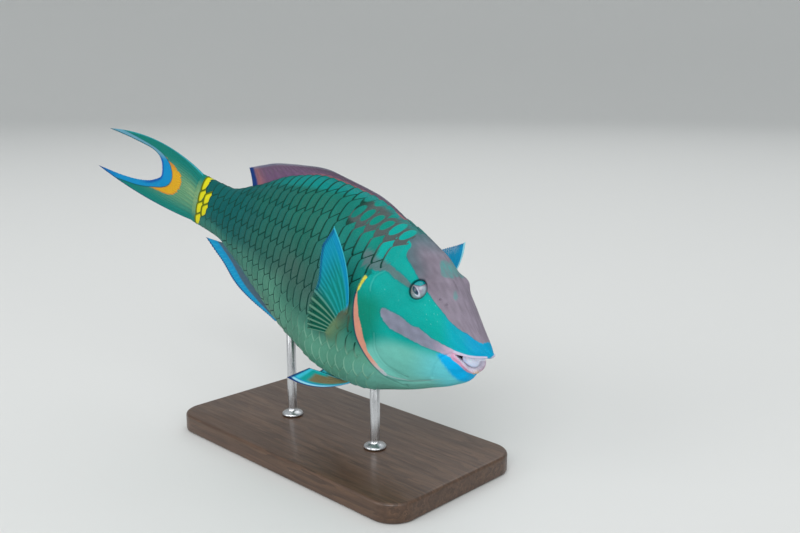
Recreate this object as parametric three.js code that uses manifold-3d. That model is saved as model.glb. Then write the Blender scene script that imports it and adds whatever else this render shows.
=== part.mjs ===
// A life-size model of a stoplight parrotfish, an adult male, on a plain display stand.
// The fish dives a little to +X with its right side tipped up, and its tail turns to its right.
// Millimetres, +Z up, origin at the centre of the underside of the stand's base.
import * as THREE from "three";
import { mergeVertices } from "three/addons/utils/BufferGeometryUtils.js";
import Module from "manifold-3d";

const wasm = await Module();
wasm.setup();

// Driving dimensions, in millimetres or degrees
const STANDARD_LENGTH = 310; // tip of the snout to the root of the tail fin
const GAP = 0.3; // between pieces that touch
const NOSE_DOWN = 14;
const BANK = -8; // the left side hangs lower
const SNOUT_PLACE = { x: 136, y: 4, z: 94 };
const BEND_START = 0.5; // share of the standard length where the tail starts to turn
const BEND_RADIUS = 2080;

// The sizes below are shares of the standard length, measured back from the snout.
// Body stations: distance back, top, bottom, half width, height of the widest line in the depth
const STATIONS = [
  [0.0, 0.025, 0.003, 0.011, 0.5],
  [0.02, 0.041, -0.038, 0.029, 0.5],
  [0.06, 0.074, -0.076, 0.046, 0.5],
  [0.12, 0.123, -0.114, 0.064, 0.48],
  [0.2, 0.167, -0.159, 0.079, 0.47],
  [0.3, 0.192, -0.201, 0.09, 0.48],
  [0.42, 0.211, -0.215, 0.091, 0.5],
  [0.55, 0.207, -0.193, 0.081, 0.52],
  [0.68, 0.17, -0.148, 0.064, 0.52],
  [0.8, 0.105, -0.1, 0.045, 0.52],
  [0.9, 0.066, -0.07, 0.031, 0.5],
  [0.97, 0.065, -0.068, 0.02, 0.5],
  [1.0, 0.066, -0.068, 0.0135, 0.5],
];
const UPPER_ROUNDNESS = 1.04; // above 1 makes the back sharper than an ellipse
const LOWER_ROUNDNESS = 0.92; // below 1 makes the belly fuller
const BODY_RINGS = 44;
const RING_SIDES = 36;
const RING_SPREAD = 1.25; // above 1 sets the rings closer at the snout

// The line of the mouth, seen from the side: its corner, the upper lip's edge and the lower lip's edge
const MOUTH_CORNER = [0.06, 0.001];
const UPPER_LIP_LINE = [[0.034, 0.006], [0.02, 0.0085], [0.005, 0.0125], [-0.012, 0.018]];
const LOWER_LIP_LINE = [[0.04, -0.008], [0.024, -0.017], [0.013, -0.026], [-0.012, -0.034]];
const JAW_JOINT_LINE = [[0.084, -0.045], [0.1, -0.13]];
const UPPER_LIP = { radius: 1.3, top: [0.056, 0.0045], front: [-0.0005, 0.019] };
const LOWER_LIP = { radius: 1.1, top: [0.054, -0.004], front: [0.007, -0.0275] };

// The tooth plates are horseshoe walls: length, half width, wall, rise of the biting edge
const LOWER_PLATE = { back: 0.047, length: 0.045, half: 0.031, wall: 0.0075, edge: [-0.001, 0.009] };
const UPPER_PLATE = { back: 0.047, length: 0.0355, half: 0.022, wall: 0.006, edge: [-0.003, 0.001] };

// Eyes, nostrils and gill covers
const EYE = { back: 0.178, turn: 54.3, radius: 5.6, sunk: 0.66, rim: 6.1, rimTube: 0.95 };
const NOSTRILS = [
  { back: 0.128, turn: 46, radius: 1.3, tube: 0.55, pit: 0.94 },
  { back: 0.112, turn: 44, radius: 1.1, tube: 0.5, pit: 0.79 },
];
const GILL_REAR = [[0.296, 0.075], [0.317, 0.03], [0.306, -0.013], [0.286, -0.057], [0.261, -0.084],
  [0.23, -0.106], [0.199, -0.12], [0.157, -0.124]];
const GILL_FRONT = [[0.15, -0.108], [0.19, -0.096], [0.225, -0.066], [0.246, -0.02], [0.25, 0.03],
  [0.238, 0.07], [0.262, 0.09]];
const GILL_COVER = { plate: 4, lift: 1.5, slope: 0.06, inner: 0.025, outer: 0.15 };

// Where the body is parted, at the nape and at the tail stem: distance back at the top and bottom
const NAPE_CUT = [0.285, 0.335];
const STEM_CUT = [0.83, 0.85];

// Fins along the midline: root from and to, then share along the root, backward lean and height. Foot
// and edge are half thicknesses of the membrane, ridge is how far a ray rises, all in millimetres.
const DORSAL = { from: 0.3, to: 0.812, rays: 19, foot: 1.5, edge: 0.35, ridge: 0.4 };
const DORSAL_RAYS = [[0, 0.05, 0.004], [0.15, 0.062, 0.008], [0.3, 0.062, 0.0125], [0.45, 0.062, 0.019],
  [0.65, 0.058, 0.031], [0.85, 0.05, 0.054], [1, 0.03, 0.0545]];
const ANAL = { from: 0.598, to: 0.862, rays: 12, foot: 1.4, edge: 0.35, ridge: 0.4 };
const ANAL_RAYS = [[0, 0.03, 0.022], [0.25, 0.05, 0.0425], [0.6, 0.056, 0.0565], [0.85, 0.06, 0.046],
  [1, 0.08, 0.02]];

// Tail fin: where its root is, then share from the lower to the upper edge, with the ray's end
const CAUDAL = { root: 1.001, low: -0.064, high: 0.062, rays: 14, edge: 0.4, ridge: 0.45 };
const CAUDAL_TIPS = [[0, 1.441, -0.053], [0.07, 1.35, -0.047], [0.16, 1.27, -0.036], [0.3, 1.2, -0.015],
  [0.48, 1.168, 0.01], [0.64, 1.178, 0.037], [0.78, 1.205, 0.058], [0.88, 1.25, 0.066],
  [0.94, 1.33, 0.067], [1, 1.424, 0.065]];
const CAUDAL_BOW = [[0, -0.027], [0.3, -0.004], [0.7, 0.012], [1, 0.058]];

// Paired fins: root from and to, first and last ray, and how the rays between them shorten and turn
const PECTORAL = {
  root: [[0.322, -0.019], [0.361, -0.09]],
  rays: 13, first: 0.206, last: 0.061, sweep: 74, spread: 1.35, foot: 2.1, edge: 0.3, ridge: 0.3,
};
const RIGHT_PECTORAL = {
  lead: [-0.097, -0.427, 0.899], normal: [0.658, -0.706, -0.265], shorten: 1.35, bow: 0.012,
};
const LEFT_PECTORAL = {
  lead: [0.17, 0.52, 0.84], normal: [0.154, 0.825, -0.542], shorten: 0.75, bow: 0.05,
};
const PELVIC = {
  root: [[0.307, 0.028], [0.35, 0.014]],
  rays: 6, foot: 1.7, edge: 0.35, ridge: 0.35, bow: 0.018,
  leadEnd: [-0.487, 0.05, -0.268], innerEnd: [-0.445, 0.03, -0.2255],
};

// Stand: a flat base with rounded corners and two rods up into the belly
const BASE = { length: 236, width: 124, height: 14, corner: 18, bevel: 2 };
const ROD = { radius: 3.5, sunk: 12, foot: 8, footHeight: 4, sides: 20 };
const ROD_BACK = [0.262, 0.562]; // distance back along the belly
const BEYOND = 0.3; // a share that reaches past the body's back, belly and sides

const sides = [-1, 1]; // right, left
const degrees = THREE.MathUtils.degToRad;
const mm = (share) => share * STANDARD_LENGTH;
const vector = (list) => new THREE.Vector3(...list);

// A smooth curve through a table's columns that never overshoots its points.
function throughPoints(table, column) {
  const xs = table.map((row) => row[0]);
  const ys = table.map((row) => row[column]);
  const steps = xs.slice(1).map((x, i) => x - xs[i]);
  const slopes = steps.map((step, i) => (ys[i + 1] - ys[i]) / step);
  const tangents = xs.map((_, i) => {
    if (i === 0) return slopes[0];
    if (i === xs.length - 1) return slopes[i - 1];
    if (slopes[i - 1] * slopes[i] <= 0) return 0;
    const before = 2 * steps[i] + steps[i - 1];
    const after = steps[i] + 2 * steps[i - 1];
    return (before + after) / (before / slopes[i - 1] + after / slopes[i]);
  });
  return (x) => {
    const at = THREE.MathUtils.clamp(x, xs[0], xs[xs.length - 1]);
    let i = 0;
    while (i < steps.length - 1 && at > xs[i + 1]) i += 1;
    const u = (at - xs[i]) / steps[i];
    return ys[i] * (1 + 2 * u) * (1 - u) ** 2 + ys[i + 1] * u ** 2 * (3 - 2 * u)
      + steps[i] * (tangents[i] * u * (1 - u) ** 2 - tangents[i + 1] * u ** 2 * (1 - u));
  };
}

// The height of a line of straight pieces that runs forward, at a distance back.
function straightThrough(line, back) {
  const i = Math.max(1, line.findIndex(([x]) => x < back));
  const [[x0, y0], [x1, y1]] = [line[i - 1], line[i]];
  return THREE.MathUtils.mapLinear(back, x0, x1, y0, y1);
}

const [topAt, bottomAt, halfAt, widestAt] = [1, 2, 3, 4].map((c) => throughPoints(STATIONS, c));

// A point of the fish in its own frame, snout at the origin, +X ahead and +Y to its left. The three
// shares are the distance back along the midline, to the left and up.
function place(back, left, up) {
  const past = mm(Math.max(0, back - BEND_START));
  const turn = -past / BEND_RADIUS;
  const x = past > 0 ? -mm(BEND_START) + BEND_RADIUS * Math.sin(turn) : -mm(back);
  const y = past > 0 ? -BEND_RADIUS * (1 - Math.cos(turn)) : 0;
  return new THREE.Vector3(x + mm(left) * Math.sin(turn), y + mm(left) * Math.cos(turn), mm(up));
}

// Left and up shares of the body's outline at a station. Angle 0 is the back, 90 degrees the left.
function section(back, angle) {
  const top = topAt(back);
  const bottom = bottomAt(back);
  const middle = bottom + (top - bottom) * widestAt(back);
  const rise = Math.cos(angle);
  const power = rise > 0 ? UPPER_ROUNDNESS : LOWER_ROUNDNESS;
  const side = Math.sin(angle);
  const left = halfAt(back) * Math.sign(side) * Math.abs(side) ** power;
  return [left, rise > 0 ? middle + (top - middle) * rise : middle + (middle - bottom) * rise];
}

function skin(back, angle) {
  return place(back, ...section(back, angle));
}

function skinNormal(back, angle) {
  const step = 0.004;
  const from = Math.max(back - step, 0);
  const along = skin(back + step, angle).sub(skin(from, angle));
  const around = skin(back, angle + step).sub(skin(back, angle - step));
  return along.cross(around).normalize().negate();
}

// The angle of the skin at a height on one side, side +1 for the left.
function angleAtHeight(back, up, side) {
  let low = 0;
  let high = Math.PI;
  for (let i = 0; i < 30; i += 1) {
    const middle = (low + high) / 2;
    if (section(back, middle)[1] > up) low = middle;
    else high = middle;
  }
  return side * low;
}

// Solids from raw triangles and from geometries
function solidFrom(points, faces) {
  const geometry = new THREE.BufferGeometry().setFromPoints(points);
  geometry.setIndex(faces.flat());
  return solidOf(geometry);
}

function solidOf(geometry) {
  const bare = geometry.index ? geometry.clone() : geometry;
  bare.deleteAttribute("normal");
  bare.deleteAttribute("uv");
  const merged = mergeVertices(bare, 1e-4);
  const build = (index) => new wasm.Manifold(new wasm.Mesh({
    numProp: 3,
    vertProperties: new Float32Array(merged.attributes.position.array),
    triVerts: new Uint32Array(index),
  }));
  const index = Array.from(merged.index.array);
  const solid = build(index);
  if (solid.volume() >= 0) return solid;
  for (let i = 0; i < index.length; i += 3) [index[i], index[i + 1]] = [index[i + 1], index[i]];
  return build(index);
}

// The largest closed surface of a solid, which drops loose scraps.
function largest(solid) {
  return solid.decompose().sort((a, b) => b.volume() - a.volume())[0];
}

function meshOf(name, solid, material) {
  const { vertProperties, triVerts, numProp } = largest(solid).getMesh();
  const geometry = new THREE.BufferGeometry();
  const positions = new Float32Array((vertProperties.length / numProp) * 3);
  for (let i = 0; i * numProp < vertProperties.length; i += 1) {
    positions.set(vertProperties.subarray(i * numProp, i * numProp + 3), i * 3);
  }
  geometry.setAttribute("position", new THREE.BufferAttribute(positions, 3));
  geometry.setIndex(new THREE.BufferAttribute(triVerts, 1));
  geometry.computeVertexNormals();
  const mesh = new THREE.Mesh(geometry, material);
  mesh.name = name;
  return mesh;
}

// A closed solid through rings of points, with a fan over each end.
function ringSolid(rings) {
  const sides = rings[0].length;
  const points = rings.flat();
  const faces = [];
  for (let i = 0; i + 1 < rings.length; i += 1) {
    for (let j = 0; j < sides; j += 1) {
      const next = (j + 1) % sides;
      const [a, b] = [i * sides + j, i * sides + next];
      faces.push([a, b, b + sides], [a, b + sides, a + sides]);
    }
  }
  const mean = (ring) => ring.reduce((sum, p) => sum.add(p), new THREE.Vector3()).divideScalar(sides);
  const [first, last] = [points.push(mean(rings[0])) - 1, points.push(mean(rings.at(-1))) - 1];
  const lastRing = (rings.length - 1) * sides;
  for (let j = 0; j < sides; j += 1) {
    const next = (j + 1) % sides;
    faces.push([first, next, j], [last, lastRing + j, lastRing + next]);
  }
  return solidFrom(points, faces);
}

// A thin solid from a grid of middle points with side directions and half thicknesses. Both of its
// faces are split into triangles alike.
function sheetSolid(grid) {
  const rows = grid.length;
  const columns = grid[0].length;
  const front = (i, k) => i * columns + k;
  const rear = (i, k) => rows * columns + front(i, k);
  const cells = grid.flat();
  const points = [1, -1].flatMap((side) =>
    cells.map((cell) => cell.point.clone().addScaledVector(cell.normal, side * cell.half)));
  const faces = [];
  const wall = (i, k, m, n) => faces.push([front(m, n), front(i, k), rear(i, k)],
    [front(m, n), rear(i, k), rear(m, n)]);
  for (let i = 0; i + 1 < rows; i += 1) {
    for (let k = 0; k + 1 < columns; k += 1) {
      faces.push([front(i, k), front(i + 1, k), front(i + 1, k + 1)]);
      faces.push([front(i, k), front(i + 1, k + 1), front(i, k + 1)]);
      faces.push([rear(i, k), rear(i + 1, k + 1), rear(i + 1, k)]);
      faces.push([rear(i, k), rear(i, k + 1), rear(i + 1, k + 1)]);
    }
    wall(i, 0, i + 1, 0);
    wall(i + 1, columns - 1, i, columns - 1);
  }
  for (let k = 0; k + 1 < columns; k += 1) {
    wall(rows - 1, k, rows - 1, k + 1);
    wall(0, k + 1, 0, k);
  }
  return solidFrom(points, faces);
}

// A tube with round ends along points, its radius given by the share along it.
function tubeSolid(points, radiusAt, sides) {
  const curve = new THREE.CatmullRomCurve3(points);
  const steps = 2 * points.length;
  const up = new THREE.Vector3(0, 0, 1);
  const rings = Array.from({ length: steps + 1 }, (_, i) => {
    const share = i / steps;
    const ahead = curve.getTangentAt(share);
    const out = ahead.clone().cross(up).normalize();
    const over = out.clone().cross(ahead);
    return Array.from({ length: sides }, (_, j) => {
      const angle = (2 * Math.PI * j) / sides;
      return curve.getPointAt(share)
        .addScaledVector(out, radiusAt(share) * Math.cos(angle))
        .addScaledVector(over, radiusAt(share) * Math.sin(angle));
    });
  });
  return ringSolid(rings);
}

// A prism across the fish, through an outline of distance back and height shares.
function sidePrism(outline, from, to) {
  const shape = new THREE.Shape(outline.map(([back, up]) => new THREE.Vector2(-mm(back), mm(up))));
  const geometry = new THREE.ExtrudeGeometry(shape, { depth: to - from, bevelEnabled: false });
  geometry.rotateX(Math.PI / 2); // the extrusion now runs to -Y
  geometry.translate(0, to, 0);
  return solidOf(geometry);
}

// The same outline moved out by a distance in millimetres, for a cut with clearance.
function grown(outline, distance) {
  const way = Math.sign(area(outline)) * (distance / STANDARD_LENGTH);
  return outline.map(([back, up], i) => {
    const [beforeBack, beforeUp] = outline.at(i - 1);
    const [afterBack, afterUp] = outline[(i + 1) % outline.length];
    const first = new THREE.Vector2(up - beforeUp, beforeBack - back).normalize();
    const second = new THREE.Vector2(afterUp - up, back - afterBack).normalize();
    const mitre = way / Math.max(0.3, 1 + first.dot(second));
    return [back + (first.x + second.x) * mitre, up + (first.y + second.y) * mitre];
  });
}

function area(outline) {
  return outline.reduce((sum, [x, y], i) => {
    const [nextX, nextY] = outline[(i + 1) % outline.length];
    return sum + (x * nextY - nextX * y) / 2;
  }, 0);
}

// The whole body, its skin moved out by a distance that may vary over it.
function bodySolid(offsetAt, coarser = 1) {
  const [count, around] = [BODY_RINGS / coarser, RING_SIDES / coarser];
  const rings = Array.from({ length: count + 1 }, (_, i) => {
    const back = (i / count) ** RING_SPREAD;
    return Array.from({ length: around }, (_, j) => {
      const angle = (2 * Math.PI * j) / around;
      return skin(back, angle).addScaledVector(skinNormal(back, angle), offsetAt(back, angle));
    });
  });
  return ringSolid(rings);
}

const body = bodySolid(() => 0);
const bodyWithGap = bodySolid(() => GAP);

// Eye balls, their sockets and the fleshy rims round them
function eyeFrame(side) {
  const angle = side * degrees(EYE.turn);
  const normal = skinNormal(EYE.back, angle);
  const centre = skin(EYE.back, angle).addScaledVector(normal, -EYE.radius * EYE.sunk);
  return { normal, centre };
}

function eyeBall(side, radius) {
  const ball = new THREE.SphereGeometry(radius, 18, 12);
  const { normal, centre } = eyeFrame(side);
  ball.rotateX(Math.PI / 2);
  ball.applyQuaternion(new THREE.Quaternion().setFromUnitVectors(vector([0, 0, 1]), normal));
  ball.translate(centre.x, centre.y, centre.z);
  return solidOf(ball);
}

function ringAt(back, angle, radius, tube, sides) {
  const ring = new THREE.TorusGeometry(radius, tube, 6, sides);
  const normal = skinNormal(back, angle);
  const at = skin(back, angle);
  ring.applyQuaternion(new THREE.Quaternion().setFromUnitVectors(vector([0, 0, 1]), normal));
  ring.translate(at.x, at.y, at.z);
  return solidOf(ring);
}

function nostril(side, { back, turn, pit }) {
  const hollow = new THREE.SphereGeometry(pit, 8, 6);
  const at = skin(back, side * degrees(turn));
  hollow.translate(at.x, at.y, at.z);
  return solidOf(hollow);
}

// A lip runs from one corner of the mouth round the front to the other.
function lipPoints(line, lip) {
  const side = (sign) => [lip.top, ...line.slice(0, 3)].map(([back, up]) => {
    const angle = angleAtHeight(back, up, sign);
    return skin(back, angle);
  });
  return [...side(-1), place(lip.front[0], 0, lip.front[1]), ...side(1).reverse()];
}

function lip(line, shape, extra) {
  const radiusAt = (share) => extra + shape.radius * (0.55 + 0.45 * Math.sin(Math.PI * share));
  return tubeSolid(lipPoints(line, shape), radiusAt, 8);
}

// A tooth plate is a horseshoe wall between the lip line and its biting edge.
function toothPlate(plate, rootAt, bulge) {
  const steps = 13;
  const rings = Array.from({ length: steps + 1 }, (_, i) => {
    const angle = (Math.PI * i) / steps;
    const edge = plate.edge[0] + (plate.edge[1] - plate.edge[0]) * Math.sin(angle) ** 0.6;
    const at = (inset, share) => {
      const back = plate.back - (plate.length - inset) * Math.sin(angle);
      const up = rootAt(back) + (edge - rootAt(back)) * share;
      return place(back, (plate.half - inset) * Math.cos(angle), up);
    };
    return [at(bulge, 0), at(0, 0.5), at(1.6 * bulge, 1), at(0.7 * plate.wall, 1),
      at(plate.wall, 0.5), at(plate.wall, 0)];
  });
  return ringSolid(rings);
}

// Gill covers: a crescent plate whose rear edge stands off the flank.
const gillOutline = [...GILL_REAR, ...GILL_FRONT];
const gillFrontAt = throughPoints(GILL_FRONT.slice(0, 5).map(([back, up]) => [up, back]), 1);

function gillLift(back, angle) {
  const up = section(back, angle)[1];
  const share = (back - gillFrontAt(up)) / GILL_COVER.slope;
  return GILL_COVER.lift * THREE.MathUtils.smoothstep(share, 0, 1);
}

function gillPrism(side, extra) {
  const outline = grown(gillOutline, extra);
  const [inner, outer] = [mm(GILL_COVER.inner) - extra, mm(GILL_COVER.outer)];
  return side > 0 ? sidePrism(outline, inner, outer) : sidePrism(outline, -outer, -inner);
}

const innerBody = bodySolid(() => -GILL_COVER.plate, 2);
const innerBodyWithGap = bodySolid(() => -GILL_COVER.plate - GAP, 2);
const liftedBody = bodySolid(gillLift);
const liftedWithGap = bodySolid((back, angle) => gillLift(back, angle) + GAP);

function gillCover(side) {
  return gillPrism(side, 0).intersect(liftedBody).subtract(innerBody);
}

function clearOfGills(solid) {
  return sides.reduce((rest, side) => rest.subtract(gillPrism(side, GAP).intersect(liftedWithGap)), solid);
}

// Cuts across the body
function acrossCut([top, bottom], from, to) {
  return sidePrism([[top + from, BEYOND], [top + to, BEYOND], [bottom + to, -BEYOND], [bottom + from, -BEYOND]],
    -mm(BEYOND), mm(BEYOND));
}

// Fins that stand on the midline of the back or belly
function midlineFin(fin, table, edgeAt, way) {
  const leanAt = throughPoints(table, 1);
  const heightAt = throughPoints(table, 2);
  const rows = 2 * fin.rays - 1;
  const along = [-0.16, 0.08, 0.35, 0.65, 1];
  const sideways = (back) => place(back, 1, 0).sub(place(back, 0, 0)).normalize();
  return sheetSolid(Array.from({ length: rows }, (_, i) => {
    const share = i / (rows - 1);
    const root = fin.from + (fin.to - fin.from) * share;
    const back = root + leanAt(share);
    const isRay = i % 2 === 0;
    return along.map((u) => {
      const at = root + (back - root) * Math.max(u, 0);
      const base = edgeAt(root) + (edgeAt(back) - edgeAt(root)) * Math.max(u, 0);
      const up = base + way * heightAt(share) * Math.max(u, 0) + (u < 0 ? way * u * 0.04 : 0);
      const ridge = isRay ? fin.ridge * (1 - 0.6 * Math.max(u, 0)) : 0;
      const half = fin.edge + (fin.foot - fin.edge) * (1 - Math.max(u, 0)) ** 3 + ridge;
      return { point: place(at, 0, up), normal: sideways(at), half };
    });
  }));
}

function caudalFin() {
  const [tipBack, tipUp] = [1, 2].map((c) => throughPoints(CAUDAL_TIPS, c));
  const bowAt = throughPoints(CAUDAL_BOW, 1);
  const rows = 2 * CAUDAL.rays - 1;
  const along = [0, 0.06, 0.16, 0.32, 0.5, 0.68, 0.85, 1];
  return sheetSolid(Array.from({ length: rows }, (_, i) => {
    const share = i / (rows - 1);
    const root = CAUDAL.low + (CAUDAL.high - CAUDAL.low) * share;
    const isRay = i % 2 === 0;
    const depth = Math.sqrt(Math.max(0, 1 - (2 * share - 1) ** 2));
    const foot = mm(halfAt(1)) * (0.3 + 0.7 * depth);
    return along.map((u) => {
      const back = CAUDAL.root + (tipBack(share) - CAUDAL.root) * u;
      const up = root + (tipUp(share) - root) * u + bowAt(share) * 2 * u * (1 - u);
      const ridge = isRay ? CAUDAL.ridge * Math.min(1, 8 * u) * (1 - 0.7 * u) : 0;
      const half = CAUDAL.edge + (foot - CAUDAL.edge) * (1 - u) ** 7 + ridge;
      const normal = place(back, 1, 0).sub(place(back, 0, 0)).normalize();
      return { point: place(back, 0, up), normal, half };
    });
  }));
}

// A pectoral fin is a fan: its rays turn and shorten from the first to the last.
function pectoralFin(side, { lead, normal, shorten, bow }) {
  const [high, low] = PECTORAL.root.map(([back, up]) => skin(back, angleAtHeight(back, up, side)));
  const inward = skinNormal(PECTORAL.root[0][0], angleAtHeight(...PECTORAL.root[0], side)).negate();
  const leadWay = vector(lead).normalize();
  const face = vector(normal).normalize();
  const sweepWay = face.clone().cross(leadWay).multiplyScalar(-side);
  const rows = 2 * PECTORAL.rays - 1;
  const along = [-0.1, 0, 0.12, 0.3, 0.5, 0.75, 1];
  return sheetSolid(Array.from({ length: rows }, (_, i) => {
    const share = i / (rows - 1);
    const turn = degrees(PECTORAL.sweep) * share ** PECTORAL.spread;
    const shorter = (1 - share) ** shorten;
    const length = mm(PECTORAL.last + (PECTORAL.first - PECTORAL.last) * shorter);
    const way = leadWay.clone().multiplyScalar(Math.cos(turn)).addScaledVector(sweepWay, Math.sin(turn));
    const root = high.clone().lerp(low, share);
    const isRay = i % 2 === 0;
    return along.map((u) => {
      const ahead = mm(bow) * 4 * u * (1 - u) * shorter;
      const point = u < 0 ? root.clone().addScaledVector(inward, mm(0.02))
        : root.clone().addScaledVector(way, length * u).addScaledVector(sweepWay, -ahead);
      const fade = 1 - Math.max(u, 0);
      const ridge = isRay ? PECTORAL.ridge * Math.min(1, Math.max(u, 0) * 5) * (1 - 0.6 * u) : 0;
      const half = PECTORAL.edge + (PECTORAL.foot - PECTORAL.edge) * fade ** 5 + ridge;
      return { point, normal: face, half };
    });
  }));
}

// A pelvic fin trails back below the belly. Its first ray is the longest.
function pelvicFin(side) {
  const skinAt = ([back, left]) => skin(back, side * (Math.PI - Math.asin(left / halfAt(back))));
  const [outer, inner] = PELVIC.root.map(skinAt);
  const [outerEnd, innerEnd] = [PELVIC.leadEnd, PELVIC.innerEnd].map(([x, y, z]) =>
    new THREE.Vector3(mm(x), side * mm(y), mm(z)));
  const rows = 2 * PELVIC.rays - 1;
  const along = [-0.06, 0.06, 0.3, 0.55, 0.8, 1];
  const face = outerEnd.clone().sub(outer).cross(innerEnd.clone().sub(inner)).normalize();
  return sheetSolid(Array.from({ length: rows }, (_, i) => {
    const share = i / (rows - 1);
    const root = outer.clone().lerp(inner, share);
    const end = outerEnd.clone().lerp(innerEnd, share ** 0.8);
    const isRay = i % 2 === 0;
    return along.map((u) => {
      const point = root.clone().lerp(end, u);
      point.z += u < 0 ? mm(0.016) : -mm(PELVIC.bow) * 4 * u * (1 - u) * (1 - share);
      const ridge = isRay ? PELVIC.ridge * (1 - 0.6 * Math.max(u, 0)) : 0;
      const half = PELVIC.edge + (PELVIC.foot - PELVIC.edge) * (1 - Math.max(u, 0)) ** 3 + ridge;
      return { point, normal: face, half };
    });
  }));
}

// The fish's place and attitude over the stand
const fish = new THREE.Group();
fish.rotation.set(degrees(BANK), degrees(NOSE_DOWN), 0, "YXZ");
fish.position.set(SNOUT_PLACE.x, SNOUT_PLACE.y, SNOUT_PLACE.z);
fish.updateMatrixWorld(true);

// Rods rise from the base into the belly
function rodPlace(back) {
  const belly = skin(back, Math.PI).applyMatrix4(fish.matrixWorld);
  return { x: belly.x, y: belly.y, top: belly.z + ROD.sunk };
}

function rodGeometry({ x, y, top }, extra) {
  const bottom = BASE.height + GAP;
  const profile = [[0, bottom], [ROD.foot, bottom], [ROD.foot, bottom + 1.5],
    [ROD.radius + extra, bottom + ROD.footHeight], [ROD.radius + extra, top + extra], [0, top + extra]];
  const rod = new THREE.LatheGeometry(profile.map(([r, z]) => new THREE.Vector2(r, z)), ROD.sides);
  rod.rotateX(Math.PI / 2);
  rod.translate(x, y, 0);
  return rod;
}

const [frontRod, rearRod] = ROD_BACK.map(rodPlace);
const rodHoles = [frontRod, rearRod].map((rod) =>
  solidOf(rodGeometry(rod, GAP).applyMatrix4(fish.matrixWorld.clone().invert())));

function standBase() {
  const [x, y, r] = [BASE.length / 2 - BASE.bevel, BASE.width / 2 - BASE.bevel, BASE.corner];
  const outline = new THREE.Shape();
  outline.moveTo(x - r, -y);
  outline.absarc(x - r, r - y, r, -Math.PI / 2, 0);
  outline.absarc(x - r, y - r, r, 0, Math.PI / 2);
  outline.absarc(r - x, y - r, r, Math.PI / 2, Math.PI);
  outline.absarc(r - x, r - y, r, Math.PI, 1.5 * Math.PI);
  const plate = new THREE.ExtrudeGeometry(outline, {
    depth: BASE.height - 2 * BASE.bevel, curveSegments: 6,
    bevelThickness: BASE.bevel, bevelSize: BASE.bevel, bevelSegments: 1,
  });
  plate.translate(0, 0, BASE.bevel);
  return solidOf(plate);
}

// Put the head together: rims and lips on, then sockets, nostrils, mouth and gill covers out
const gillRoom = (solid, side) => solid.subtract(gillPrism(side, GAP).subtract(innerBodyWithGap));
const bodyLessGills = sides.reduce(gillRoom, body);
const mouthRoom = sidePrism([MOUTH_CORNER, ...UPPER_LIP_LINE, ...[...LOWER_LIP_LINE].reverse()],
  -mm(BEYOND), mm(BEYOND));
const slit = GAP / STANDARD_LENGTH;
const jawLine = [[MOUTH_CORNER[0] - 3 * slit, MOUTH_CORNER[1]], ...JAW_JOINT_LINE];
const jawCut = sidePrism([...jawLine, ...jawLine.map(([back, up]) => [back + slit, up]).reverse()],
  -mm(BEYOND), mm(BEYOND));
const frontPart = bodyLessGills.subtract(acrossCut(NAPE_CUT, 0, 1));
const rearPart = bodyLessGills.subtract(acrossCut(NAPE_CUT, slit - 1, slit));
const trunkPart = rearPart.subtract(acrossCut(STEM_CUT, 0, 1));
const stemPart = rearPart.subtract(acrossCut(STEM_CUT, slit - 1, slit));

function headSolid() {
  const rims = sides.map((side) =>
    ringAt(EYE.back, side * degrees(EYE.turn), EYE.rim, EYE.rimTube, 20));
  const nostrilRims = sides.flatMap((side) => NOSTRILS.map(({ back, turn, radius, tube }) =>
    ringAt(back, side * degrees(turn), radius, tube, 8)));
  const pits = sides.flatMap((side) => NOSTRILS.map((one) => nostril(side, one)));
  const sockets = sides.map((side) => eyeBall(side, EYE.radius + GAP));
  const [whole, jaw] = frontPart.subtract(mouthRoom).subtract(jawCut).decompose()
    .sort((a, b) => b.volume() - a.volume());
  const joined = [...rims, ...nostrilRims, lip(UPPER_LIP_LINE, UPPER_LIP, 0)]
    .reduce((solid, piece) => solid.add(piece), whole);
  const head = [...sockets, ...pits].reduce((solid, piece) => solid.subtract(piece), joined);
  return [head, jaw.add(lip(LOWER_LIP_LINE, LOWER_LIP, 0)).subtract(lip(UPPER_LIP_LINE, UPPER_LIP, GAP))];
}

const [head, lowerJaw] = headSolid();
const lowerRootAt = (back) => straightThrough([MOUTH_CORNER, ...LOWER_LIP_LINE], back) + 2 * slit;
const upperRootAt = (back) => straightThrough([MOUTH_CORNER, ...UPPER_LIP_LINE], back) - 1.5 * slit;
const clearOfLips = (solid) => solid.subtract(lip(LOWER_LIP_LINE, LOWER_LIP, GAP))
  .subtract(lip(UPPER_LIP_LINE, UPPER_LIP, GAP));
const lowerPlate = clearOfLips(toothPlate(LOWER_PLATE, lowerRootAt, 0.001));
const upperPlate = clearOfLips(toothPlate(UPPER_PLATE, upperRootAt, 0.0005));

const clearOfBody = (solid) => solid.subtract(bodyWithGap);

// Colours of the solids
const finish = (color, roughness, metalness = 0) =>
  new THREE.MeshStandardMaterial({ color, roughness, metalness });
const HEAD_SKIN = finish(0x1f9c94, 0.45);
const BODY_SKIN = finish(0x3a7f68, 0.45);
const TAIL_SKIN = finish(0x1f7d6e, 0.45);
const FIN_BLUE = finish(0x1597c9, 0.4);
const FIN_PURPLE = finish(0x7d5a6c, 0.45);
const FIN_GREEN = finish(0x4fa183, 0.42);
const TOOTH = finish(0xd9def0, 0.25);
const EYE_GLOSS = finish(0x8d8f92, 0.1);
const WOOD = finish(0x3b2a1f, 0.45);
const STEEL = finish(0xb8babd, 0.28, 1);

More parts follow.
